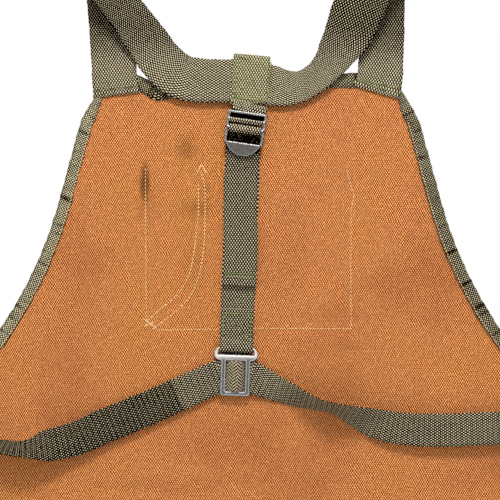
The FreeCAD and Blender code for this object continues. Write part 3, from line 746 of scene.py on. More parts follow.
def canvas_depth(x, z):
    """Where the wearer's face of the back canvas lies; it moves least at the top, by the sewn straps."""
    free = smooth_step(-z, 6, 60) * 0.85 + 0.15
    return FACE_Y + 0.1 + canvas_drape(x, z) * free * 0.8


TOP_POINTS = [
    (-127, 13), (-110, 16), (-97, 16.5), (-90, 13), (-80, 7), (-66, 9), (-50, 8), (40, 6), (50, 8.5),
    (58, 14), (66, 18), (92, 18.5), (110, 16), (127, 13),
]


def top_edge(x):
    """Height of the bib's top edge: low behind the shoulder webbing, rising to a peak at each side."""
    return np.interp(x, *np.transpose(TOP_POINTS))


def back_canvas():
    """The wearer's side panel as one draped sheet with thickness."""
    rows, columns, thickness = 230, 190, 1.1
    edge = side_edge(1)
    z_rows = -HEIGHT * np.linspace(0, 1, rows)
    corner_lift = top_edge(edge[0, 0]) * np.clip(1 + z_rows / 60, 0, 1)
    half = np.interp(-(z_rows + corner_lift), -edge[:, 1], edge[:, 0])
    bottom = z_rows < CORNER - HEIGHT
    drop = np.clip(CORNER - HEIGHT - z_rows[bottom], 0, CORNER - 0.01)
    half[bottom] = HALF - CORNER + np.sqrt(CORNER**2 - drop**2)
    share = np.linspace(-1, 1, columns)
    x = half[:, None] * share
    z = np.broadcast_to(z_rows[:, None], x.shape)
    z = z + top_edge(x) * np.clip(1 + z / 60, 0, 1)
    near_edge = 1 - smooth_step(1 - np.abs(share), 0.0, 0.08)
    y = canvas_depth(x, z) * (1 - near_edge) + near_edge * 0.4
    y = np.clip(y, -0.4, 3.2)
    points, uvs = two_sided(x, y, z, thickness)
    faces = cloth_faces(rows, columns, flip=True)
    dress(make_mesh("back_canvas", points, faces, CANVAS, uvs), "canvas", "root", "back_panel")


# ---- binding tape ----


# The folded tape's section: share of its face's width away from the edge, and height off the cloth's middle.
TAPE_SECTION = [
    (-1.0, -0.55), (-0.97, -1.15), (-0.6, -1.75), (-0.25, -1.9), (-0.04, -1.45), (0.06, -0.4), (0.07, 0.5),
    (0.0, 1.6), (-0.25, 2.0), (-0.6, 1.9), (-0.97, 1.4), (-1.0, 0.8), (-0.6, 0.6), (-0.6, -0.4),
]


def tape_along(name, edge, facing_out, seed, nodes, face=10.4, pucker=1.0, narrow=1.0):
    """Folded tape round an edge of x, y, z points.
    facing_out is each point's direction away from the cloth, and narrow its share of width at the start."""
    places = places_along(edge)
    even = np.linspace(0, places[-1], int(places[-1] / 1.5))
    path = at_places(even, places, edge)
    away = unit(at_places(even, places, unit(facing_out)))
    along = unit(np.gradient(path, axis=0))
    depth = unit(np.cross(along, away))
    shares, rises = np.transpose(TAPE_SECTION)
    wave = ripple(even, seed, (7.5, 13.0, 24.0)) * pucker
    crease = ripple(even, seed + 5, (5.0, 8.7, 15.0)) * pucker
    width = face * (1 + 0.05 * ripple(even, seed + 9, (19.0, 33.0, 60.0)))
    width = width * (1 - (1 - narrow) * (1 - smooth_step(even, 0, 36)))
    reach = shares * width[:, None] + 0.45 * wave[:, None] * (shares > -0.2)
    reach = reach + 0.35 * crease[:, None] * (shares < -0.9)
    middle = np.exp(-(((shares + 0.45) / 0.35) ** 2))
    puff = 1 + 0.30 * pucker * np.sin(even / 2.1 + 2.0 * wave)[:, None] * middle
    rise = rises * puff + 0.25 * crease[:, None]
    slant = 0.9 * crease[:, None] * shares
    points = path[:, None, :] + away[:, None, :] * reach[..., None] + depth[:, None, :] * rise[..., None]
    points = points + along[:, None, :] * slant[..., None]
    girth = places_along(np.stack([shares * face, rises], axis=1))
    uvs = np.stack(np.broadcast_arrays(even[:, None], girth), axis=-1).reshape(-1, 2)
    faces = tube_faces(len(even), len(shares))
    dress(make_mesh(name, points.reshape(-1, 3), faces, TAPE, uvs), "binding_tape", "root", *nodes)


def edge_outwards(edge, side):
    """Directions away from the canvas along an x, z edge that runs down the given side."""
    along = unit(np.gradient(edge, axis=0))
    return np.stack([-along[:, 1] * side, np.zeros(len(edge)), along[:, 0] * side], axis=1)


def bag_bindings():
    """The tape round the armholes, the skirt and the bib's top edge, and the row that sews it down."""
    for side, word in ((-1, "left"), (1, "right")):
        flat = side_edge(side)
        edge = np.stack([flat[:, 0], np.full(len(flat), 0.5), flat[:, 1]], axis=1)
        out = edge_outwards(flat, side)
        split = int(np.argmin(abs(flat[:, 1] + ARM_DROP)))
        armhole = slice(0, split + 1)
        nodes = [f"armhole_binding_{word}"]
        tape_along(f"armhole_tape_{word}", edge[armhole], out[armhole], 11 + side, nodes, narrow=0.35)
        nodes = ["skirt_binding"] if side > 0 else []
        tape_along(f"skirt_tape_{word}", edge[split:], out[split:], 31 + side, nodes, pucker=0.7)
        seam = edge - out * 9.0 + [0, -2.0, 0]
        stitch_row(f"tape_stitches_{word}", seam[16:], OUT, CREAM_THREAD, "root", 2.9, 1.9, 0.36)
    x = np.linspace(-112, 112, 160)
    top = np.stack([x, np.full_like(x, 0.5), top_edge(x)], axis=1)
    up = np.stack([-np.gradient(top[:, 2], x), np.zeros_like(x), np.ones_like(x)], axis=1)
    tape_along("bib_top_tape", top, up, 51, ["bib_top_binding"], face=12.0)


# ---- pocket and its stitching ----


def pocket_lines():
    """Seams of the chest pocket as x, z paths: its sides, its foot and the slanting tool divider."""
    left, right = POCKET_LOW[0] - 1.0, POCKET_HIGH[0] - 1.0
    foot, mouth = POCKET_LOW[2], POCKET_HIGH[2]
    divider = [
        (-45, mouth - 14), (-45.2, mouth - 42), (-48, mouth - 68), (-52.5, mouth - 91), (-62, mouth - 109),
        (-77, mouth - 122), (left + 2, mouth - 133),
    ]
    second = [
        (-42, mouth - 5), (-39.2, mouth - 21), (-39.6, mouth - 60), (-43, mouth - 87), (-51, mouth - 110),
        (-66, mouth - 126), (left + 6, foot + 0.5),
    ]
    ragged = [
        (right - 5, mouth - 2), (right + 1, mouth - 25), (right - 1, mouth - 44), (right - 1, foot + 2),
    ]
    return {
        "pocket_seam_left": [(left, mouth), (left + 0.6, foot + 5)],
        "pocket_seam_right": ragged,
        "pocket_seam_foot_left": [(left + 10, foot), (-27, foot + 0.5)],
        "pocket_seam_foot_right": [(3, foot + 1.5), (right + 1, foot + 1.2)],
        "pocket_divider_outer": divider,
        "pocket_divider_inner": second,
        "pocket_tack_left": [(left - 2, foot + 10), (left + 9, foot + 2)],
        "pocket_tack_cross": [(left - 1, foot + 3), (left + 8, foot + 7)],
        "pocket_tack_top": [(-46, mouth - 5), (-42, mouth + 2), (-38, mouth - 5)],
    }


# Pitch, length and radius of the stitches of each kind of seam on the pocket.
SEAM_STITCHES = {"seam": (3.2, 2.2, 0.4), "divider": (3.2, 2.2, 0.5), "tack": (1.6, 2.0, 0.6)}


def seams():
    """Stitches of the pocket as they show on the wearer's side."""
    for name, corners in pocket_lines().items():
        flat = np.array([(x, 0.0, z) for x, z in corners])
        path = curve_through(flat, 90)
        path[:, 1] = np.clip(canvas_depth(path[:, 0], path[:, 2]), -0.4, 3.2) - 0.05
        kind = name.split("_")[1]
        stitch_row(name, path, OUT, CREAM_THREAD, "root", *SEAM_STITCHES[kind])


def pocket_bow(x, z):
    """How far the pocket stands off the bag's front: nothing at its edges, most at its middle and mouth."""
    across = (x - POCKET_LOW[0]) / (POCKET_HIGH[0] - POCKET_LOW[0]) * 2 - 1
    up = (z - POCKET_LOW[2]) / (POCKET_HIGH[2] - POCKET_LOW[2])
    bow = 2.2 * np.clip(1 - across**4, 0, 1) * smooth_step(up, 0, 0.5)
    return bow + 0.3 * np.sin(x / 11) * np.sin(z / 13 + x / 29)


def pocket_sheet(name, low, high, y, thickness, material, node, slot):
    """A sheet of the front pocket between two corners, standing off the bag's front by pocket_bow."""
    columns, rows = 60, 50
    x, z = np.meshgrid(np.linspace(low[0], high[0], columns), np.linspace(low[2], high[2], rows))
    points, uvs = two_sided(x, y + pocket_bow(x, z), z, thickness)
    dress(make_mesh(name, points, cloth_faces(rows, columns), material, uvs), slot, "root", node)


def pocket_front():
    """The patch pocket on the bag's front with its hem and its seams."""
    y = POCKET_LOW[1]
    pocket_sheet("pocket_patch", POCKET_LOW, POCKET_HIGH, y, 1.0, CANVAS, "chest_pocket", "canvas")
    low, high = extent("pocket_hem")
    low, high = low - [1, 0, 0], high + [1, 0, 1]
    pocket_sheet("pocket_hem_tape", low, high, y + 1.0, 0.8, TAPE, "pocket_hem", "binding_tape")
    mouth = POCKET_HIGH[2] - 15
    for k, inset in enumerate((4.0, 9.0)):
        left, right, foot = POCKET_LOW[0] + inset, POCKET_HIGH[0] - inset, POCKET_LOW[2] + inset
        corners = np.array([(left, mouth), (left, foot), (right, foot), (right, mouth)])
        dense = np.concatenate([np.linspace(a, b, 40) for a, b in zip(corners[:-1], corners[1:])])
        x, z = dense.T
        path = np.stack([x, y + 1.05 + pocket_bow(x, z), z], axis=1)
        stitch_row(f"pocket_front_seam_{k}", path, BACK, CREAM_THREAD, "root")


# ---- shoulder straps and junction ----

def shoulder_stations():
    """Up from the left corner, over the shoulder, down to the junction, and the same on the right."""
    low, high = extent("shoulder_strap_left")
    top, middle_y = high[2] - 24.5, low[1] + 24.5
    left = [
        (-115.9, SEWN_Y + 0.1, -0.2, BACK, 1.08), (-117.1, SEWN_Y - 0.3, 10, BACK, 1.04),
        (-120.3, SEWN_Y - 0.6, 52, BACK), (-124.5, SEWN_Y - 1.6, 100, BACK), (-133, -5, 150, BACK),
        (-139, middle_y + 23.4, top - 6, BACK), (-141, middle_y + 17, top + 17, (0, 0.7, 0.7)),
        (-146, middle_y, top + 23.6, UP), (-151, middle_y - 17, top + 17, (0, -0.7, 0.7)),
        (-152, middle_y - 23.4, top - 6), (-147, -40, 140), (-131.5, -20, 104, (0.2, -1, 0.1), 0.93),
        (-115.5, -9.5, 82, (0.3, -1, 0.15), 0.90), (-101, -7.2, 63, (0.2, -1, 0.1), 0.92),
        (-88.5, -6.6, 45.5, OUT, 0.96), (-77.5, -5.6, 30), (-62, -4.6, 16.5, OUT, 1.02),
        (-42, CROSS_Y - 0.3, 12.2), (-20, CROSS_Y, 12.0, OUT, 0.98),
    ]
    right = [
        (0, CROSS_Y, 12.0), (16, CROSS_Y, 8.3, OUT, 0.94), (34, CROSS_Y - 0.4, 5.6, OUT, 0.80),
        (48.5, -4.6, 9.0, OUT, 0.68), (60, -5.4, 17.0, (0.1, -1, 0.1), 0.68),
        (68.8, -6.4, 26.5, (0.1, -1, 0.1), 0.76), (75.5, -7.2, 36.5, (0, -1, 0), 0.90),
        (85.6, -8.2, 54, (-0.1, -1, 0), 1.10), (97, -11, 82, (-0.2, -1, 0), 1.20),
        (112, -20, 108, (-0.2, -1, 0), 1.06), (133, -40, 142), (146, middle_y - 23.4, top - 6),
        (144, middle_y - 17, top + 17, (0, -0.7, 0.7)), (139, middle_y, top + 23.6, UP),
        (134, middle_y + 17, top + 17, (0, 0.7, 0.7)), (131, middle_y + 23.4, top - 6, BACK),
        (125, -5, 150, BACK), (116.5, SEWN_Y - 1.6, 100, BACK), (115.0, SEWN_Y - 0.6, 52, BACK),
        (112.6, SEWN_Y - 0.3, 14, BACK, 1.05), (109.6, SEWN_Y + 0.1, 2.2, BACK, 1.1),
    ]
    return left + right


def shoulder_webbing():
    """One long strap, and the two rows of stitches that sew each of its ends to the bib."""
    strap = Strap(shoulder_stations(), 38.0, seed=3, wobble=0.35)
    thing = strap.part("shoulder_webbing", SHOULDER_WEB)
    dress(thing, "shoulder_webbing", "root", "shoulder_strap_left", "shoulder_strap_right")
    for word, place, sign in (("left", 5.0, 1), ("right", strap.place[-1] - 5.0, -1)):
        for k, inward in enumerate((0.0, 2.2)):
            shares = np.linspace(-0.92, 0.92, 24)
            row = np.array([strap.point(place + sign * inward, share, -1.6) for share in shares])
            row[:, 1] = SEWN_Y - 0.95
            name = f"strap_end_stitches_{word}_{k}"
            stitch_row(name, row, OUT, GREEN_THREAD, "root", 2.9, 2.5, radius=0.40, jitter=1.1)


def box_of_stitches(name, at, half_x, low_z, high_z, y, body):
    """A sewn box, with its diagonals, on a piece that lies in a leaning frame."""
    corners = [(-half_x, low_z), (half_x, low_z), (half_x, high_z), (-half_x, high_z)]
    sides = list(zip(corners, corners[1:] + corners[:1]))
    diagonals = [(corners[0], corners[2]), (corners[1], corners[3])]
    for k, (a, b) in enumerate(sides + diagonals):
        path = np.array([at.at(x, y, z) for x, z in np.linspace(a, b, 24)])
        pitch, radius = (2.3, 0.36) if k < len(sides) else (2.9, 0.26)
        stitch_row(f"{name}_{k}", path, OUT, GREEN_THREAD, body, pitch, 2.2, radius, jitter=0.35)


def round_bar(y, z, radius, start, end, count, flip=1, share=1.0):
    """Stations round a bar along local X; 0 degrees points at +Y and 90 at +Z."""
    stations = []
    for angle in np.radians(np.linspace(start, end, count)):
        away = (0, math.cos(angle), math.sin(angle))
        face = tuple(flip * a for a in away)
        stations.append((0, y + away[1] * radius, z + away[2] * radius, face, share))
    return stations


BAR_Y, TAB_BAR_Z, STRAP_BAR_Z, WRAP = -7.4, -6.3, -13.4, 2.35


def junction():
    """The sewn patch over the straps' meeting, and its tongue round the ladder lock's first bar."""
    stations = [
        (-3.4, PATCH_Y - 0.1, 50.6, (0, -0.75, 0.55), 0.97),
        (-3.2, PATCH_Y - 0.75, 48.2, (0, -1, 0.2), 0.99), (-2.4, PATCH_Y - 0.7, 40),
        (-1.0, PATCH_Y - 0.3, 22), (0.2, PATCH_Y - 0.1, 10.0, OUT, 1.02), (0.4, PATCH_Y, 8.9),
    ]
    patch = Strap(stations, 32.5, LOCK, seed=5)
    dress(patch.part("junction_square", PATCH_WEB), "shoulder_webbing", "root", "junction_patch")
    box_of_stitches("junction_box", LOCK, 14.2, 12.5, 46.5, PATCH_Y - 1.25, "root")

    tongue = [
        (1.6, PATCH_Y - 0.3, 9.0, BACK), (1.2, PATCH_Y - 0.3, 4.5, BACK),
        (0.5, PATCH_Y - 0.2, 0.5, BACK, 0.97),
    ]
    tongue += round_bar(BAR_Y, TAB_BAR_Z, WRAP, 0, -195, 11, share=0.95)
    loop = Strap(tongue, 30.6, LOCK, step=0.8, seed=8, wobble=0.1)
    dress(loop.part("junction_tongue", TONGUE_WEB), "shoulder_webbing", "ladder_lock", "lock_tab_loop")


# ---- back strap, tail and hardware ----

SLIDER_BAR_Y, LOOP, BELT_Z = -5.7, 2.35, 1.4


def lock_webbing():
    """The back strap where it turns round the lock's second bar, and what shows of it behind the lock:
    painted shade.
    """
    stations = [(0, PATCH_Y + 0.4, -31, BACK), (0, PATCH_Y + 0.2, -23, BACK, 0.99)]
    stations += round_bar(BAR_Y, STRAP_BAR_Z, WRAP, -10, 190, 12, share=0.98)
    stations += [
        (0, PATCH_Y - 2.9, -18.0, OUT, 0.98), (0, PATCH_Y - 1.5, -22.0, OUT, 0.98), (0, PATCH_Y - 1.1, -27),
        (0, PATCH_Y - 0.8, -33),
    ]
    wrap = Strap(stations, 29.0, LOCK, step=0.8, seed=12, wobble=0.1)
    dress(wrap.part("lock_webbing", WRAP_WEB), "back_webbing", "ladder_lock", "lock_strap_wrap")
    # The strap behind the lock, in the dark copy: painted shade in the lock's gaps.
    behind = Strap([(0, BACK_Y - 0.3, z, OUT, 0.98) for z in (168, 180, 192, 204)], 30.4, STRAP, seed=16)
    dress(behind.part("back_strap_top", SHADED_WEB), "back_webbing", "root")


def back_strap():
    """The back strap down to the T slider, round its upper bar and back up, and the loop's sewn box."""
    stations = [
        (0, BACK_Y - 0.4, 186, OUT, 0.95), (0, BACK_Y, 172), (0, BACK_Y, 110), (0, BACK_Y, 60),
        (0, BACK_Y, 26), (0, BACK_Y - 0.5, 11),
    ]
    stations += round_bar(SLIDER_BAR_Y, 0, LOOP, 0, -180, 12, flip=-1)
    stations += [
        (0, SLIDER_BAR_Y - LOOP + 0.9, 2.8, BACK), (0, CROSS_Y - 1.3, 6.5, BACK),
        (0, CROSS_Y - 0.3, 11, BACK), (0, CROSS_Y - 0.1, 24, BACK), (0, CROSS_Y - 0.1, 34.5, BACK),
    ]
    thing = Strap(stations, 29.0, STRAP, step=1.0, seed=15).part("back_strap", BACK_WEB)
    dress(thing, "back_webbing", None, "centre_strap")
    bend(thing)
    box_of_stitches("loop_box", STRAP, 12.0, 7.5, 30.5, CROSS_Y - 0.9, "centre_strap")


def strap_tail():
    """The loose tail that hangs from the lock over the back strap, and its hem."""
    stations = [
        (0, PATCH_Y - 0.6, 182, OUT, 0.95), (-0.2, PATCH_Y - 0.4, 172, OUT, 0.98),
        (-0.8, PATCH_Y - 0.2, 150), (-0.6, PATCH_Y + 0.1, 120), (1.0, PATCH_Y - 1.05, 90),
        (0.6, PATCH_Y - 1.15, 54.6, OUT, 1.02),
    ]
    thing = Strap(stations, 29.3, STRAP, seed=19).part("strap_end", BACK_WEB)
    dress(thing, "back_webbing", None, "strap_tail")
    bend(thing)
    for k, z in enumerate((65.5, 62.5)):
        row = np.array([STRAP.at(x, PATCH_Y - 2.05, z) for x in np.linspace(-13, 13, 20)])
        stitch_row(f"tail_hem_{k}", row, OUT, GREEN_THREAD, "strap_tail", 2.2, 2.1, radius=0.34, jitter=0.4)


def belt_stations():
    """From the left seam, behind the slider's left side, over its upright bar, and to the right seam."""
    hump = SLIDER_BAR_Y - 1.95
    inner = [
        (13, CROSS_Y + 0.05, 1.0), (8.6, CROSS_Y + 0.05, 0.98), (6.6, CROSS_Y - 0.9, 0.96),
        (4.2, CROSS_Y - 2.6, 0.955), (2.0, hump + 0.35, 0.95),
    ]
    over = [(-x, y, w) for x, y, w in inner] + [(0, hump, 0.95)] + inner[::-1]
    left = [
        (-297, -2.2, -303.5, OUT, 0.55), (-262, CROSS_Y - 2, -304, (0, -1, 0.6), 0.62),
        (-228, CROSS_Y - 5, -303, (0, -0.6, 1.0), 0.55), (-206, CROSS_Y - 7, -306, (0, -0.45, 1.0), 0.9),
        (-190, CROSS_Y - 6, -306, (0, -0.6, 0.9), 0.98), (-172, CROSS_Y - 4, -303.5, (0, -1, 0.35)),
        (-150, CROSS_Y - 2, -298, (0, -1, 0.1), 1.02), (-128, CROSS_Y - 0.8, -288.5, OUT, 1.06),
        (-106, CROSS_Y - 0.5, -279.5, OUT, 1.05), (-72, CROSS_Y - 0.3, -265, OUT, 1.02),
        (-45, CROSS_Y - 0.1, -252.5),
    ]
    right = [
        (12, CROSS_Y, -250.5, OUT, 0.9), (20, CROSS_Y - 0.8, -254.0, (0, -1, -0.2), 0.82),
        (30, CROSS_Y - 3.0, -257.8, (0, -1, -0.55), 0.82), (45, CROSS_Y - 6, -264, (0, -0.65, -0.8), 0.9),
        (58, CROSS_Y - 7, -268.5, (0, -0.5, -1)), (74, CROSS_Y - 7.5, -272.5, (0, -0.42, -1)),
        (92, CROSS_Y - 6.5, -279, (0, -0.7, -0.8)), (112, CROSS_Y - 5, -286, (0, -1, -0.35)),
        (138, CROSS_Y - 4.5, -290.2, (0, -1, -0.12)), (170, CROSS_Y - 4, -291), (215, CROSS_Y - 4, -289.2),
        (262, CROSS_Y - 2, -289), (297, -2.4, -289.5),
    ]
    return left + [(*SLIDER.at(x, y, BELT_Z), OUT, w) for x, y, w in over] + right


def belt_webbing():
    """The waist belt in five lengths that meet: the hump rides on the slider, and the others stay in place.
    """
    belt = Strap(belt_stations(), 28.5, step=1.0, seed=23, wobble=0.3)
    near, split = 13, 50
    xs = [SLIDER.at(x, CROSS_Y, BELT_Z)[0] for x in (-split, -near, near, split)]
    cuts = [0] + [belt.place[int(np.argmin(abs(belt.middle[:, 0] - x)))] for x in xs] + [None]
    names = ["belt_left_outer", "belt_left_inner", "belt_hump", "belt_right_inner", "belt_right_outer"]
    # The left outer length takes the darker copy of the belt webbing: painted shade.
    cloth = {"belt_hump": HUMP_WEB, "belt_left_outer": SHADED_BELT_WEB}
    made = {}
    for name, start, end in zip(names, cuts[:-1], cuts[1:]):
        made[name] = belt.part(name, cloth.get(name, BELT_WEB), start, end)
    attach(made["belt_hump"], "t_slider")
    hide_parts("belt_loop")
    for side, word in ((-1, "left"), (1, "right")):
        far_end, near_end = (SLIDER.at(side * x, CROSS_Y, BELT_Z) for x in (split, near))
        bend(made[f"belt_{word}_inner"])
        bend(made[f"belt_{word}_outer"])
        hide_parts(f"waist_belt_{word}")


def slider_slot_shadow():
    """Dark webbing behind the slot between the slider's upper bars: painted shadow where only shade falls.
    """
    slot_shadow = Strap([(0, FACE_Y - 1.3, z) for z in (15, 19, 23, 28)], 27.0, SLIDER, seed=25)
    dress(slot_shadow.part("slider_slot_shadow", SHADED_WEB), "belt_webbing", "centre_strap")


# ---- pouch and drop bottom ----

POUCH_LOW, POUCH_HIGH = extent("pouch_panel")
POUCH_TOP, POUCH_FOOT, POUCH_BACK = POUCH_HIGH[2], POUCH_LOW[2], POUCH_LOW[1]
POUCH_DEPTH = 150.0
_, FLAP_HIGH = extent("chute_flap")
FLAP_PLACE = np.array(joint("chute_drop")["pos_m"]) / MM
SNAP_X = 110.0


def on_flap(x, y, z):
    """A point in the bag's frame from one on the flap: z up its slope from the fold, y off the pouch."""
    c, s = math.cos(FLAP_SLOPE), math.sin(FLAP_SLOPE)
    return np.array([x, FLAP_PLACE[1] + y * c + z * s, FLAP_PLACE[2] - y * s + z * c])


def flap_turn(y, z):
    return on_flap(0, y, z) - on_flap(0, 0, 0)


def pouch_grid(columns, rows):
    """Rest points of the pouch's front, from its mouth down, and their places along the cloth."""
    inset, rounding = 15.5, 76.0
    points = np.zeros((rows, columns, 3))
    for i in range(rows):
        share = i / (rows - 1)
        z = POUCH_TOP + share * (POUCH_FOOT - POUCH_TOP)
        into_corner = max(0.0, CORNER - HEIGHT - z)
        half = HALF - inset - rounding + math.sqrt(rounding**2 - into_corner**2)
        depth = POUCH_DEPTH * (0.085 + 0.915 * math.sin(math.pi * (0.33 + 0.67 * share)))
        turn = np.linspace(0, math.pi, 721)
        across = np.sign(np.cos(turn)) * abs(np.cos(turn)) ** (2 / 3) * (half - 1)
        out = POUCH_BACK + (depth - 1) * np.sin(turn) ** (2 / 3)
        places = np.concatenate([[0], np.cumsum(np.hypot(np.diff(across), np.diff(out)))])
        even = np.linspace(0, places[-1], columns)
        points[i, :, 0] = np.interp(even, places, across)
        points[i, :, 1] = np.interp(even, places, out)
        points[i, :, 2] = z
    return points


def settled(thing, held):
    """The points of a mesh after Blender's cloth has run on it, with the given hold per vertex."""
    growth, frames, pull = 0.035, 26, 0.25
    group = thing.vertex_groups.new(name="held")
    for index, weight in enumerate(held):
        if weight > 0:
            group.add([index], float(weight), "REPLACE")
    cloth = thing.modifiers.new("cloth", "CLOTH")
    settings = {
        "quality": 6, "mass": 0.25, "tension_stiffness": 18, "compression_stiffness": 18, "air_damping": 4,
        "shear_stiffness": 6, "bending_stiffness": 2.5, "pin_stiffness": 1.0, "vertex_group_mass": "held",
        "shrink_min": -growth,
    }
    for setting, value in settings.items():
        setattr(cloth.settings, setting, value)
    cloth.settings.effector_weights.gravity = pull
    cloth.collision_settings.use_collision = False
    cloth.point_cache.frame_start, cloth.point_cache.frame_end = 1, frames
    scene = bpy.context.scene
    for step in range(1, frames + 1):
        scene.frame_set(step)
    graph = bpy.context.evaluated_depsgraph_get()
    result = thing.evaluated_get(graph).data
    points = np.empty(len(result.vertices) * 3)
    result.vertices.foreach_get("co", points)
    thing.modifiers.clear()
    thing.vertex_groups.clear()
    scene.frame_set(1)
    return points.reshape(-1, 3) / MM


def pouch_hold(rest, down):
    """How firmly the simulation holds each point: the seams and studs fully, the mouth and foot in part."""
    columns = rest.shape[1]
    x, z = rest[..., 0], rest[..., 2]
    side = np.minimum(np.arange(columns), np.arange(columns)[::-1])
    held = np.where((side < 1) | (down > 0.985), 1.0, 0.0)
    held = np.maximum(held, np.where(down < 0.02, 0.35, 0.0))
    held = np.maximum(held, 0.55 * smooth_step(down, 0.5, 0.62) * (np.abs(x) < 196))
    snap_height, snap_reach = on_flap(SNAP_X, 0, 170)[2], 14
    from_snap = np.hypot(np.abs(x) - SNAP_X, z - snap_height)
    return np.maximum(held, (from_snap < snap_reach) * 1.0)


def pouch_shape(rest, down):
    """The pouch's front settled under its own weight, no point moving more than the cap."""
    cap = 22.0
    flat = rest.reshape(-1, 3)
    blank = make_mesh("pouch_blank", flat, grid_faces(*rest.shape[:2]), CANVAS)
    moved = settled(blank, pouch_hold(rest, down).ravel()) - flat
    bpy.data.objects.remove(blank)
    reach = np.linalg.norm(moved, axis=1, keepdims=True)
    return (flat + moved * np.minimum(1.0, cap / np.maximum(reach, 1e-6))).reshape(rest.shape)


def pouch():
    """The deep front pouch: cloth held at its seams and settled under its own weight, with a taped mouth."""
    columns, rows, girth, half_thick = 181, 81, 760.0, 0.55
    rest = pouch_grid(columns, rows)
    z = rest[..., 2]
    down = (POUCH_TOP - z) / (POUCH_TOP - POUCH_FOOT)
    shape = pouch_shape(rest, down)
    shape[..., 1] = np.maximum(shape[..., 1], POUCH_BACK + 0.2)
    normal = unit(np.cross(np.gradient(shape, axis=1), np.gradient(shape, axis=0)))
    normal *= 1 if normal[..., 1].sum() > 0 else -1
    points = np.concatenate([(shape + normal * side * half_thick).reshape(-1, 3) for side in (1, -1)])
    around = np.broadcast_to(np.linspace(0, girth, columns), z.shape)
    uvs = np.concatenate([np.stack([around, z], axis=-1).reshape(-1, 2)] * 2)
    thing = make_mesh("pouch_front", points, cloth_faces(rows, columns), CANVAS, uvs)
    dress(thing, "canvas", "root", "pouch_panel")
    upwards = np.tile([0.0, 0.0, 1.0], (columns, 1))
    tape_along("pouch_mouth_tape", shape[0] + [0, 0, 1.0], upwards, 61, ["pouch_rim_binding"], pucker=0.6)
    low = shape[0] + (shape[1] - shape[0]) * 2.6
    for k, side in enumerate((1, -1)):
        away = normal[2] * side
        stitch_row(f"mouth_stitches_{k}", low + away * 2.1, away, CREAM_THREAD, "root", radius=0.3)


FLAP_HALF, FLAP_LENGTH = FLAP_HIGH[0] - 1.5, 132.0


def chute_sleeve():
    """The flat sleeve folded up over the pouch's foot: a flattened tube, its mouth turned in on itself."""
    columns, rows = 150, 56
    turned_in = FLAP_LENGTH - np.array([0.8, 4, 9, 14])
    ups = np.concatenate([np.linspace(-3, FLAP_LENGTH, rows - len(turned_in)), turned_in])
    turn = np.linspace(0, 2 * math.pi, columns, endpoint=False)
    side = np.sign(np.cos(turn)) * abs(np.cos(turn)) ** 0.45
    lift = np.sign(np.sin(turn)) * abs(np.sin(turn)) ** 0.6
    far_side = 500 * (lift < 0)
    points, uvs = [], []
    for i, up in enumerate(ups):
        inner = i >= rows - len(turned_in)
        share = max(up, 0) / FLAP_LENGTH
        puff = 1.9 + 1.6 * math.sin(math.pi * min(share * 1.1, 1)) * (1 - side**4)
        wave = 0.9 * np.sin(side * FLAP_HALF / 23 + up / 31) + 0.6 * np.sin(side * FLAP_HALF / 9.5 - up / 17)
        bow = 2.1 * math.sin(math.pi * 0.5 * share) * (1 - side**2)
        y = 2.2 + bow + np.clip(wave * share, -1.2, 1.4) * (1 - side**6)
        y = y + lift * np.maximum(puff - (1.1 if inner else 0.0), 0.25)
        x = side * (FLAP_HALF - (1.0 if inner else 0.0)) * (0.985 + 0.015 * smooth_step(up, -3, 9))
        points += [on_flap(a, b, up) for a, b in zip(x, y)]
        uvs.append(np.stack([x + far_side, np.full(columns, up)], axis=1))
    faces = grid_faces(rows, columns, close=True) + [tuple(range(columns))[::-1]]
    thing = make_mesh("chute_sleeve", points, faces, CANVAS, np.concatenate(uvs))
    dress(thing, "canvas", None, "chute_flap")
    bend(thing)


def chute_hem():
    """The tape sewn along the sleeve's mouth."""
    x = np.linspace(-FLAP_HALF, FLAP_HALF, 120)[::8]
    y = 5.9 + 2.1 * (1 - (x / FLAP_HALF) ** 2)
    stations = [(*on_flap(a, b, FLAP_LENGTH - 8), flap_turn(1, 0)) for a, b in zip(x, y)]
    hem = Strap(stations, 14.0, thickness=0.9, step=2.0, seed=71)
    dress(hem.part("chute_hem_tape", TAPE), "binding_tape", "chute", "chute_hem")
    for k, share in enumerate((-0.72, 0.72)):
        row = [hem.point(place, share) for place in np.linspace(2, hem.place[-1] - 2, 90)]
        stitch_row(f"chute_hem_stitches_{k}", row, flap_turn(1, 0), CREAM_THREAD, "chute", radius=0.28)


def chute_straps():
    """The two straps that hold the sleeve up, each sewn to it at its foot and snapped to the pouch above."""
    rises = [(1.6, 34), (6.9, 40), (7.2, 80), (8.6, 117), (8.8, 131), (7.2, 142), (5.6, 156), (5.0, 181)]
    sewn = [(-0.8, 12), (0.8, 12), (0.8, 34), (-0.8, 34), (-0.8, 12), (0.8, 34)]
    away = flap_turn(1, 0)
    for side, word in ((-1, "left"), (1, "right")):
        stations = [(*on_flap(side * SNAP_X, y, z), away) for y, z in rises]
        strap = Strap(stations, 25.0, thickness=1.2, seed=81 + side)
        nodes = ["chute_straps"] if side < 0 else []
        dress(strap.part(f"chute_strap_{word}", BELT_WEB), "belt_webbing", "chute", *nodes)
        runs = [np.linspace(a, b, 20) for a, b in zip(sewn[:-1], sewn[1:])]
        path = [strap.point(place, share) for share, place in np.concatenate(runs)]
        stitch_row(f"chute_strap_stitches_{word}", path, away, GREEN_THREAD, "chute", 2.6, 2.2, 0.32)


def bottom_fold():
    """The cloth that joins the pouch's foot to the sleeve's fold."""
    section = [(1.9, -641.5), (8, -646.0), (14, -647.5), (20.5, -646.5)]
    stations = [(0.0, y, z, (0.0, 0.35, -1.0)) for y, z in section]
    fold = Strap(stations, 2 * 0.985 * FLAP_HALF, thickness=1.1, step=1.5, crown=0.0, seed=91)
    dress(fold.part("bottom_fold", CANVAS), "canvas", "root")


# ---- stage ----


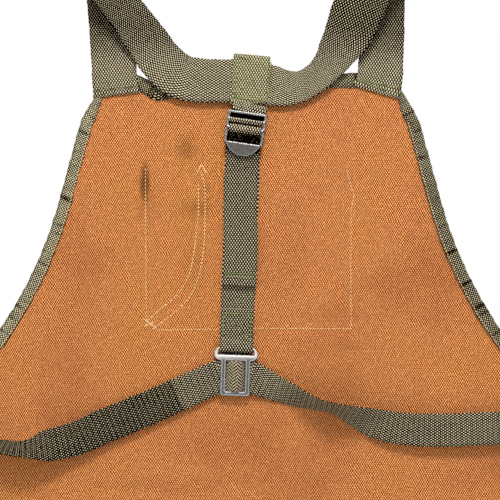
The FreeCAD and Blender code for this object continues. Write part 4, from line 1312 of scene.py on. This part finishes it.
def floor():
    """A pale square under the bag; its places are in millimetres."""
    half, z = 2500.0, -720.0
    corners = [(-half, -half, z), (half, -half, z), (half, half, z), (-half, half, z)]
    make_mesh("floor", corners, [(0, 1, 2, 3)], floor_material())


def area_light(name, place, target, size, watts):
    light = bpy.data.lights.new(name, "AREA")
    light.shape, light.size, light.energy = "DISK", size, watts
    thing = bpy.data.objects.new(name, light)
    thing.location = place
    thing.rotation_euler = (Vector(target) - Vector(place)).to_track_quat("-Z", "Y").to_euler()
    bpy.context.scene.collection.objects.link(thing)


def soft_world(seen, low, high):
    """A pale surround: white where the camera sees it; the light it gives comes from above and in front."""
    world = bpy.data.worlds.new("surround")
    world.use_nodes = True
    nodes, links = world.node_tree.nodes, world.node_tree.links
    background = nodes["Background"]
    path = nodes.new("ShaderNodeLightPath")
    direction = nodes.new("ShaderNodeTexCoord")
    towards = nodes.new("ShaderNodeVectorMath")
    towards.operation = "DOT_PRODUCT"
    towards.inputs[1].default_value = (-0.12, -0.62, 0.77)
    links.new(direction.outputs["Generated"], towards.inputs[0])
    glow = nodes.new("ShaderNodeMapRange")
    glow.interpolation_type = "SMOOTHSTEP"
    glow.inputs["From Min"].default_value = -0.35
    glow.inputs["From Max"].default_value = 0.95
    glow.inputs["To Min"].default_value = low
    glow.inputs["To Max"].default_value = high
    links.new(towards.outputs["Value"], glow.inputs["Value"])
    choice = nodes.new("ShaderNodeMix")
    links.new(path.outputs["Is Camera Ray"], choice.inputs["Factor"])
    links.new(glow.outputs[0], choice.inputs["A"])
    choice.inputs["B"].default_value = seen
    links.new(choice.outputs["Result"], background.inputs["Strength"])
    background.inputs["Color"].default_value = (1.0, 1.0, 1.0, 1.0)
    bpy.context.scene.world = world


def main_camera():
    """Square on to the wearer's side, framed as high and as wide as the photograph."""
    lens, sensor, wide, centre_z = 135.0, 36.0, 0.435, -0.1349
    data = bpy.data.cameras.new("camera")
    data.lens, data.sensor_width = lens, sensor
    thing = bpy.data.objects.new("camera", data)
    thing.location = (0.0, -wide * lens / sensor, centre_z)
    thing.rotation_euler = (math.pi / 2, 0.0, 0.0)
    bpy.context.scene.collection.objects.link(thing)
    bpy.context.scene.camera = thing


def set_stage():
    bpy.context.scene.view_settings.view_transform = "Standard"
    floor()
    area_light("key", (0.08, -1.2, 1.4), (0.0, 0.0, -0.4), 0.5, 34)
    area_light("back_fill", (0.8, 1.8, 1.0), (0.0, 0.0, -0.35), 1.2, 22)
    soft_world(1.0, 0.16, 0.68)


# ---- the bag ----


def hardware():
    """The CAD's own metal parts keep their shapes and get their finishes, with painted highlights and
    painted shade.
    """
    finishes = [LOCK_STEEL, SLIDER_STEEL, STUD_STEEL, STUD_STEEL]
    for node, material in zip(("ladder_lock", "t_slider", "snap_caps", "snap_studs"), finishes):
        materials = bpy.data.objects[node].data.materials
        materials.clear()
        materials.append(material)


hardware()
back_canvas()
bag_bindings()
seams()
pocket_front()
shoulder_webbing()
junction()
lock_webbing()
back_strap()
strap_tail()
belt_webbing()
slider_slot_shadow()
pouch()
chute_sleeve()
chute_hem()
chute_straps()
bottom_fold()
set_stage()
main_camera()
